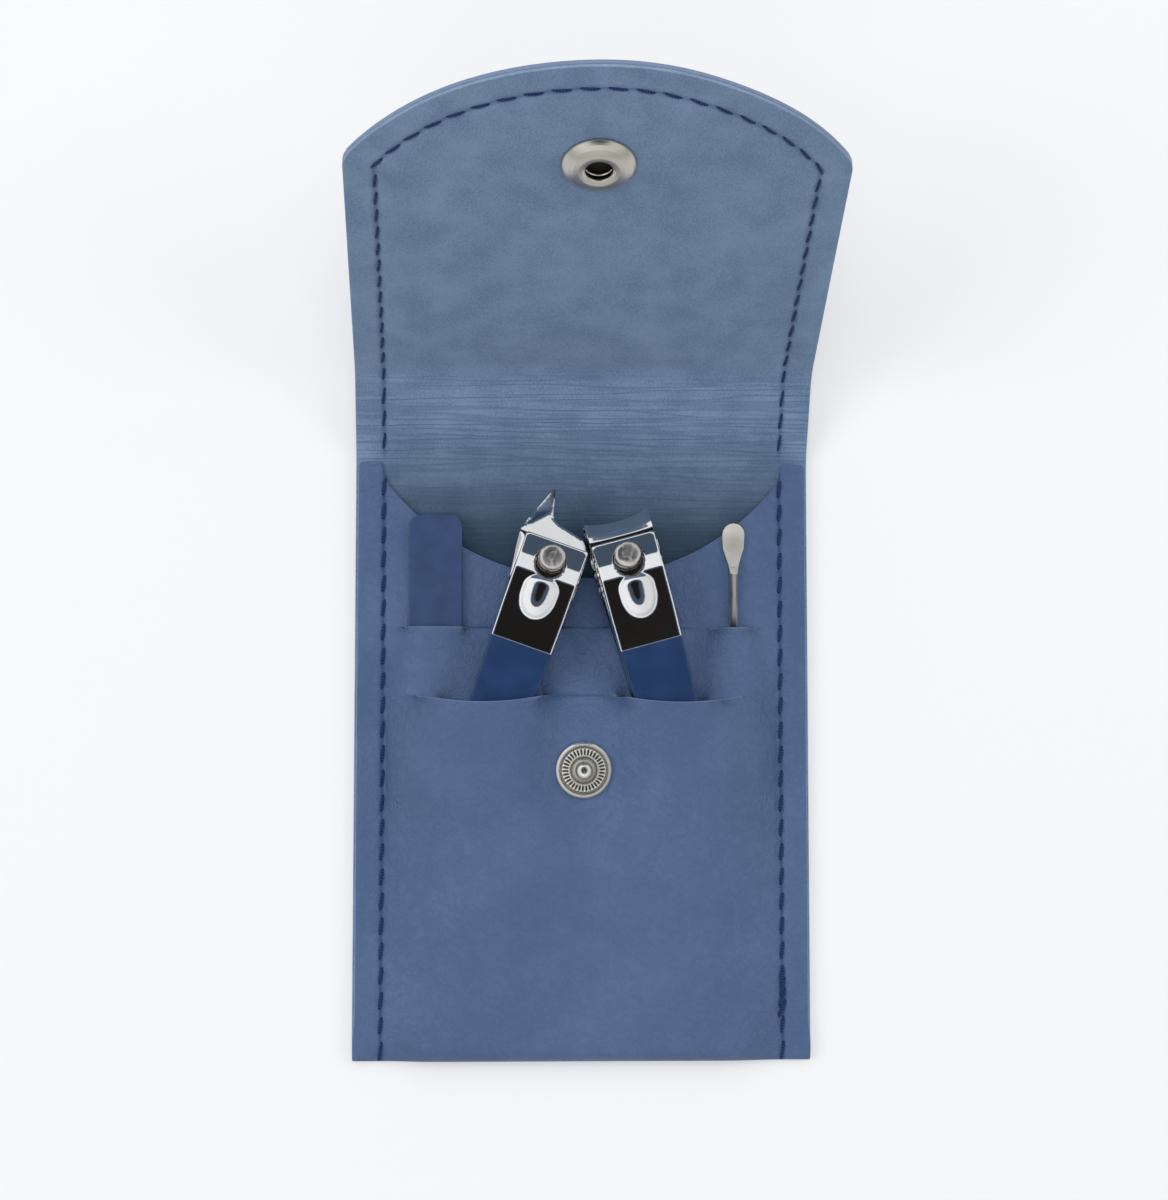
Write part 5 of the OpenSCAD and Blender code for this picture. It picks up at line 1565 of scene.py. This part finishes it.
def lever_top(u, v):
    """Height of a lever's top: the bent plate, averaged over a short length so that its creases are round.

    The bullet is a ridge along u with round flanks across v, so its crown stays level and mirrors the dark cap.
    """
    bent = sum(np.interp(u + k, CREASE_KNOTS_U, CREASE_KNOTS_W) for k in np.linspace(-0.3, 0.3, 7)) / 7
    ahead_of = np.abs((u - BULLET_U) / np.where(u > BULLET_U, 2.7, 4.9))
    half = BULLET_HALF * np.maximum(1e-3, 1.0 - ahead_of**2.4) ** 0.5
    flank = np.maximum(0.0, 1.0 - (v / half) ** 2)
    bullet = BULLET_H * flank**0.8 * np.maximum(0.0, 1.0 - ahead_of**4)
    return LEVER_REST_W + LEVER_T + bent + bullet


def lever_below(u, v):
    return lever_under(u) + 0.0 * v


def make_levers():
    tail = LEVER_TAIL_U - TAIL_ROUND * np.cos(np.linspace(0, math.pi / 2, 8))[:-1]
    rows = np.concatenate([tail, np.arange(LEVER_TAIL_U, -15.0, 1.0), np.arange(-15.0, LEVER_FRONT - 0.3, 0.22)])
    rows = np.concatenate([rows, LEVER_FRONT - np.array([0.3, 0.14, 0.05, 0.0])])
    for side, matrix in (("left", LEFT_MATRIX), ("right", RIGHT_MATRIX)):
        made = make_plate(f"{side}_lever_plate", lever_outline(), [keyhole()], lever_half, rows,
                          lever_top, lever_below, lever_paint, matrix)
        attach(made, f"{side}_lever_arm")
        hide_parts(f"{side}_lever")


make_levers()

# %% [markdown]
# ## Clippers' leaves
# Each clipper has two leaves that are mirror images. They touch at the tail, bow apart, and end in a jaw. The left
# clipper's jaw is slanted and ends in a thin blade. The right one's is straight with a hollow cutting edge.

# %% Clippers' leaves
TAIL_W, JAW_L, SLANT_L, JAW_GAP = 9.6, 7.0, 11.6, 2.4
EDGE_W = MEET_W + JAW_GAP / 2
SLANT_POINT = (-3.7, SLANT_L)
SLANT_ROOT = (-CLIPPER_W / 2 - 1.1, 3.1)
SLANT_PEAK = (-2.8, 7.3)
SLANT_SIDE = [[-6.8, 0.6], [-6.35, -2.6], [-CLIPPER_W / 2, -6.5]]
LEAF_SEAM = 0.08
JAW_SAG = 0.9


def tail_arc():
    turn = np.linspace(math.pi, 2 * math.pi, 25)
    return np.stack([TAIL_W / 2 * np.cos(turn), -TAIL_L + TAIL_W / 2 * (1 + np.sin(turn))], axis=-1)


def slanted_outline():
    half = CLIPPER_W / 2
    t = np.linspace(0, 1, 13)[:, None]
    back = (1 - t) ** 2 * [[0.6, 5.5]] + 2 * t * (1 - t) * [[-2.1, 5.9]] + t**2 * [[-2.45, 7.6]]
    head = [[half, -6], [half - 0.1, 1.5], [half - 0.7, 3.2], [4.0, 4.7]]
    point = [[SLANT_POINT[0] + 0.3, SLANT_L - 0.1], list(SLANT_POINT), list(SLANT_ROOT), *SLANT_SIDE]
    return np.concatenate([tail_arc(), head, back, point])


def straight_outline():
    half = CLIPPER_W / 2
    t = np.linspace(1, -1, 21)
    arc = np.stack([half * 0.97 * t, JAW_L - JAW_SAG * (1 - t**2)], axis=-1)
    return np.concatenate([tail_arc(), [[half, -6], [half, JAW_L - 2.2]], arc, [[-half, JAW_L - 2.2], [-half, -6]]])


def leaf_half(u):
    knots = [-TAIL_L + TAIL_W / 2, -6.5, -2.6, 0.4, 2.4]
    return np.interp(u, knots, [TAIL_W / 2, CLIPPER_W / 2, 6.4, 6.9, 7.1])


def leaf_profile(u, slanted, on_top):
    """Height of the upper leaf's top or underside: the bow behind the post, and the jaw ahead of it."""
    lip = 7.0 if slanted else JAW_L - 2.1
    nose = SLANT_L if slanted else JAW_L
    bowed = MEET_W + LEAF_BOW - leaf_under(u) + (LEAF_T if on_top else LEAF_SEAM / 2)
    if on_top and slanted:
        jaw_u, jaw_w = [-0.5, 2.7, lip, nose], [7.7, 7.5, 6.25, EDGE_W + 0.5]
    elif on_top:
        jaw_u, jaw_w = [-0.5, lip - 1.35, lip, nose], [7.7, 7.5, 7.08, EDGE_W + 0.12]
    elif slanted:
        jaw_u, jaw_w = [-4.0, lip - 1.7, lip + 0.7, nose], [6.4, 6.1, EDGE_W, EDGE_W]
    else:
        jaw_u, jaw_w = [-4.0, lip - 1.4, nose - 0.7, nose], [6.4, 6.1, EDGE_W, EDGE_W]
    jaw = sum(np.interp(u + k, jaw_u, jaw_w) for k in np.linspace(-0.12, 0.12, 5)) / 5
    return np.where(u > jaw_u[0], jaw, bowed)


def bevel_share(u, v):
    """Where a point lies on the slanted jaw's ground face: 0 on its cutting edge, 1 on the line to the peak."""
    edge = np.array(SLANT_POINT) - np.array(SLANT_ROOT)
    edge /= np.linalg.norm(edge)
    peak = np.array(SLANT_PEAK) - np.array(SLANT_ROOT)
    slope = (peak[0] * edge[1] - peak[1] * edge[0]) / (peak @ edge)
    from_edge = (v - SLANT_ROOT[0]) * edge[1] - (u - SLANT_ROOT[1]) * edge[0]
    along_edge = (v - SLANT_ROOT[0]) * edge[0] + (u - SLANT_ROOT[1]) * edge[1]
    return np.clip(from_edge / (slope * np.maximum(along_edge, 0.05)), 0.0, 1.0) * (along_edge > 0) + (along_edge <= 0)


def leaf_top(u, v, slanted):
    """Top of the upper leaf. The straight jaw's creases follow its hollow edge, and the slanted one is ground."""
    if not slanted:
        return leaf_profile(u + JAW_SAG * (1 - (2 * v / CLIPPER_W) ** 2) * ease((u - 3.2) / 1.4), False, True)
    w = leaf_profile(u, True, True)
    shoulder = w - 0.8 * np.maximum(-v - CLIPPER_W / 2 + 0.1, 0.0) * ease((2.6 - u) / 1.2)
    return mix(EDGE_W + 0.15, np.minimum(w, shoulder), bevel_share(u, v))


def ground_face(u, v):
    """1 on the slanted jaw's ground face and blade, 0 elsewhere: there the steel is duller and painted dark as a
    reflection.
    """
    return np.maximum(ease((1.0 - bevel_share(u, v)) / 0.08), ease((u - 7.2) / 0.2))


def no_ground(u, v):
    return 0.0 * u


def make_leaves():
    tail = -TAIL_L + TAIL_W / 2 - TAIL_W / 2 * np.cos(np.linspace(0, math.pi / 2, 8))[:-1]
    body = np.concatenate([tail, np.arange(-TAIL_L + TAIL_W / 2, -8.0, 0.9), np.arange(-8.0, 0.0, 0.4)])
    for side, matrix, slanted in (("left", LEFT_MATRIX, True), ("right", RIGHT_MATRIX, False)):
        nose = SLANT_L if slanted else JAW_L
        rows = np.concatenate([body, np.linspace(0.0, nose, int(nose / 0.2) + 1)])
        outline = slanted_outline() if slanted else straight_outline()
        rivet_u = -TAIL_L + 4.0
        for leaf, holes in (("upper", [circle(2.05), circle(1.45, rivet_u)]), ("lower", [circle(1.65)])):
            def over(u, v):
                return leaf_top(u, v, slanted)

            def below(u, v):
                return leaf_profile(u, slanted, False)

            if leaf == "lower":
                def top(u, v):
                    return 2 * MEET_W - below(u, v)

                def under(u, v):
                    return 2 * MEET_W - over(u, v)
            else:
                top, under = over, below
            made = make_plate(f"{side}_{leaf}_leaf_plate", outline, holes, leaf_half, rows, top, under,
                              leaf_steel, matrix, edge=0.15, ground=ground_face if slanted else no_ground)
            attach(made, f"{side}_jaw" if leaf == "upper" else f"{side}_clipper")
            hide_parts(f"{side}_{leaf}_leaf")


make_leaves()

# %% [markdown]
# ## Posts' heads
# The end of each post was hammered over its lever, so its head is a low disc with a rough top.

# %% Posts' heads
HEAD_R, HEAD_TOP_W = 2.24, 10.66


def make_post_heads():
    """A profile of radius and height turned about the post, with the top dented by noise."""
    turn = np.linspace(0, 2 * math.pi, 65)[:-1]
    inward = np.array([0.02, 0.25, 0.5, 0.72, 0.88, 0.96, 1.0, 1.0, 0.96, 0.88])
    fall = np.array([0.0, 0.0, 0.01, 0.04, 0.12, 0.24, 0.42, 0.62, 0.78, 0.84])
    for side, matrix, seed in (("left", LEFT_MATRIX, 31), ("right", RIGHT_MATRIX, 47)):
        r = HEAD_R * inward[:, None] * (1 + 0.012 * np.sin(5 * turn + seed))
        v, u = r * np.cos(turn), r * np.sin(turn)
        dents = soft_noise(v, u, seed, 9, 1.5, 0.05) * ease((1.0 - inward[:, None]) / 0.12)
        w = HEAD_TOP_W - fall[:, None] + dents - 0.06
        points = np.stack([v, u, np.minimum(w, HEAD_TOP_W + 0.05)], axis=-1).reshape(-1, 3)
        ids = np.arange(len(points)).reshape(r.shape)
        around = np.concatenate([ids, ids[:, :1]], axis=1)
        sides = grid_cells(around).reshape(-1, 4)[:, ::-1]
        own = np.array(matrix)
        place = points @ own[:3, :3].T / MM + own[:3, 3] / MM
        made = link_mesh(f"{side}_post_head", place, [sides, ids[:1], ids[-1:, ::-1]])
        made.data.materials.append(peened)
        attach(made, f"{side}_clipper")
        print(f"{made.name}: {len(made.data.polygons)} faces")


make_post_heads()

# %% [markdown]
# ## Snap fastener
# The stud is one pressed disc: a rolled rim, a fluted cone, a bowl and a ball on a neck. The socket is a low dome
# with a hole. Both are profiles of radius and height turned about their axis, and the stud's cone is cut into
# flutes by a wave round the turn. The stud's bowl and flute slots and the socket's hole are painted dark as shade.

# %% Snap fastener
PAD_Z = PAD_TOP + LEATHER_T
SOCKET_S = SPINE_L + 56.16
FLUTES = 34
STUD_PROFILE = [
    [0.04, 3.0], [0.5, 2.97], [0.9, 2.86], [1.25, 2.6], [1.5, 2.25], [1.58, 1.9], [1.5, 1.6], [1.3, 1.35],
    [1.24, 0.85], [1.4, 0.55], [1.9, 0.72], [2.35, 1.02], [2.5, 1.13], [2.62, 1.12], [3.72, 0.6], [3.98, 0.44],
    [4.06, 0.44], [4.16, 0.7], [4.26, 0.95], [4.36, 1.02], [4.5, 0.98], [4.92, 0.66], [4.99, 0.5], [4.99, 0.15],
    [4.8, 0.0], [0.04, 0.0],
]
SOCKET_PROFILE = [
    [0.04, 0.06], [2.75, 0.07], [2.75, 0.85], [2.15, 1.0], [2.1, 1.35], [2.3, 1.66], [2.7, 1.82], [3.3, 1.88],
    [4.1, 1.72], [4.9, 1.4], [5.5, 1.0], [5.85, 0.62], [6.0, 0.3], [6.0, -0.04], [0.04, -0.05],
]


def along_profile(knots, step):
    """Points evenly spaced along a profile, with every knot kept."""
    knots = np.array(knots)
    lengths = np.linalg.norm(np.diff(knots, axis=0), axis=1)
    pieces = [
        a + (b - a) * np.linspace(0, 1, max(1, int(gap / step)) + 1)[:-1, None]
        for a, b, gap in zip(knots[:-1], knots[1:], lengths)
    ]
    return np.concatenate([*pieces, knots[-1:]])


def turned(name, knots, centre, normal, columns, dark, metal, flute=None, flip=False):
    """A profile turned about an axis: centre + r (cos t across + sin t ahead) + h normal."""
    profile = along_profile(knots, 0.12)
    turn = np.linspace(0, 2 * math.pi, columns, endpoint=False)
    r, h = profile[:, :1], profile[:, 1:]
    # The mark paints shade for the material: in the recesses the dark function picks out, and in the flute slots.
    mark = dark(r, h) + 0.0 * turn
    if flute is not None:
        cut = flute(r, h, turn)
        h, mark = h - 0.24 * cut, np.maximum(mark, cut)
    across, ahead_of = np.array([1.0, 0.0, 0.0]), np.cross(normal, [1.0, 0.0, 0.0])
    points = centre + (r * np.cos(turn))[..., None] * across + (r * np.sin(turn))[..., None] * ahead_of
    points = points + (h + 0.0 * turn)[..., None] * normal
    ids = np.arange(len(profile) * columns).reshape(-1, columns)
    sides = grid_cells(np.concatenate([ids, ids[:, :1]], axis=1)).reshape(-1, 4)
    faces = [sides, ids[:1, ::-1], ids[-1:]]
    if not flip:
        faces = [f[:, ::-1] for f in faces]
    made = link_mesh(name, points.reshape(-1, 3), faces, 60.0)
    add_float(made, "ground", mark.ravel())
    made.data.materials.append(metal)
    print(f"{name}: {len(made.data.polygons)} faces")
    return made


def stud_flutes(r, h, turn):
    """1 in a slot of the cone, 0 on a rib: a wave round the turn, faded out at the cone's two ends."""
    on_cone = ease((r - 2.66) / 0.12) * ease((3.7 - r) / 0.12) * (h > 0.3)
    return on_cone * ease(0.5 + 1.6 * np.sin(FLUTES * turn))


def make_snap():
    slope = math.atan(SHUT_SLOPE)
    stud_normal = np.array([0.0, -math.sin(slope), math.cos(slope)])
    # Painted shade: the stud's bowl round the neck and its flute slots are marked dark.
    stud = turned("stud_face", STUD_PROFILE, np.array([0.0, SNAP_Y, PAD_Z]), stud_normal, FLUTES * 6,
                  lambda r, h: 0.85 * ease((0.75 - h) / 0.2) * ease((1.6 - r) / 0.2), stud_nickel, stud_flutes)
    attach(stud, "pouch")
    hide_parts("snap_stud")
    y, z, ny, nz = strip_profile(np.float64(SOCKET_S))
    # Painted shade: the socket's hole is marked dark.
    socket = turned("socket_face", SOCKET_PROFILE, np.array([0.0, y, z]), np.array([0.0, ny, nz]), 96,
                    lambda r, h: ease((2.25 - r) / 0.1) + (r < 2.8) * (h < 0.9), socket_nickel, flip=True)
    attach(socket, "flap")
    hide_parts("snap_socket")


make_snap()

# %% [markdown]
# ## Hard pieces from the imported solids
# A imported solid's edges are as sharp as its facets. A copy is merged, its flat facets are joined, and its edges get
# a narrow round, which is what catches the light on a real pressed part.

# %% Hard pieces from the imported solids


def finish_copy(node, material, width=0.1, angle=28.0, matrix=None):
    """A bevelled, smooth-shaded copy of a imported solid. It stands for the node on the same body."""
    import bmesh
    source = frame["nodes"][node]
    bm = bmesh.new()
    bm.from_mesh(source.data)
    bmesh.ops.remove_doubles(bm, verts=bm.verts, dist=2e-6)
    bmesh.ops.dissolve_limit(bm, angle_limit=math.radians(1.0), verts=bm.verts, edges=bm.edges)
    mesh = bpy.data.meshes.new(node + "_finish")
    bm.to_mesh(mesh)
    bm.free()
    made = bpy.data.objects.new(node + "_finish", mesh)
    scene.collection.objects.link(made)
    mesh.polygons.foreach_set("use_smooth", np.ones(len(mesh.polygons), bool))
    mesh.set_sharp_from_angle(angle=math.radians(angle))
    mesh.materials.append(material)
    if matrix is not None:
        places = np.zeros(len(mesh.vertices) * 3, np.float32)
        mesh.vertices.foreach_get("co", places)
        back = np.array(matrix.inverted())
        own = places.reshape(-1, 3) @ back[:3, :3].T + back[:3, 3]
        add_float(made, "along", own[:, 1])
    if width:
        bevel = made.modifiers.new("edges", "BEVEL")
        bevel.width = width * MM
        bevel.segments = 2
        bevel.limit_method = "ANGLE"
        bevel.angle_limit = math.radians(angle)
        bevel.harden_normals = True
    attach(made, source["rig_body"])
    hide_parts(node)
    return made


def file_matrix():
    place = Vector((FILE_X, SMALL_SLIT_Y + FILE_OUT, file_under(SMALL_SLIT_Y + FILE_OUT)))
    return Matrix.Scale(MM, 4) @ Matrix.Translation(place)


def make_hard_pieces():
    for side in ("left", "right"):
        finish_copy(f"{side}_post", peened, 0.0)
        finish_copy(f"{side}_tail_rivet", nickel, 0.06)
    finish_copy("nail_file", file_paint, 0.16, matrix=file_matrix())
    finish_copy("ear_pick", satin, 0.0, angle=50.0)
    for node in ("snap_cap", "snap_stud_eyelet"):
        finish_copy(node, nickel, 0.05)
    finish_copy("snap_socket_spring", wire, 0.0)


make_hard_pieces()
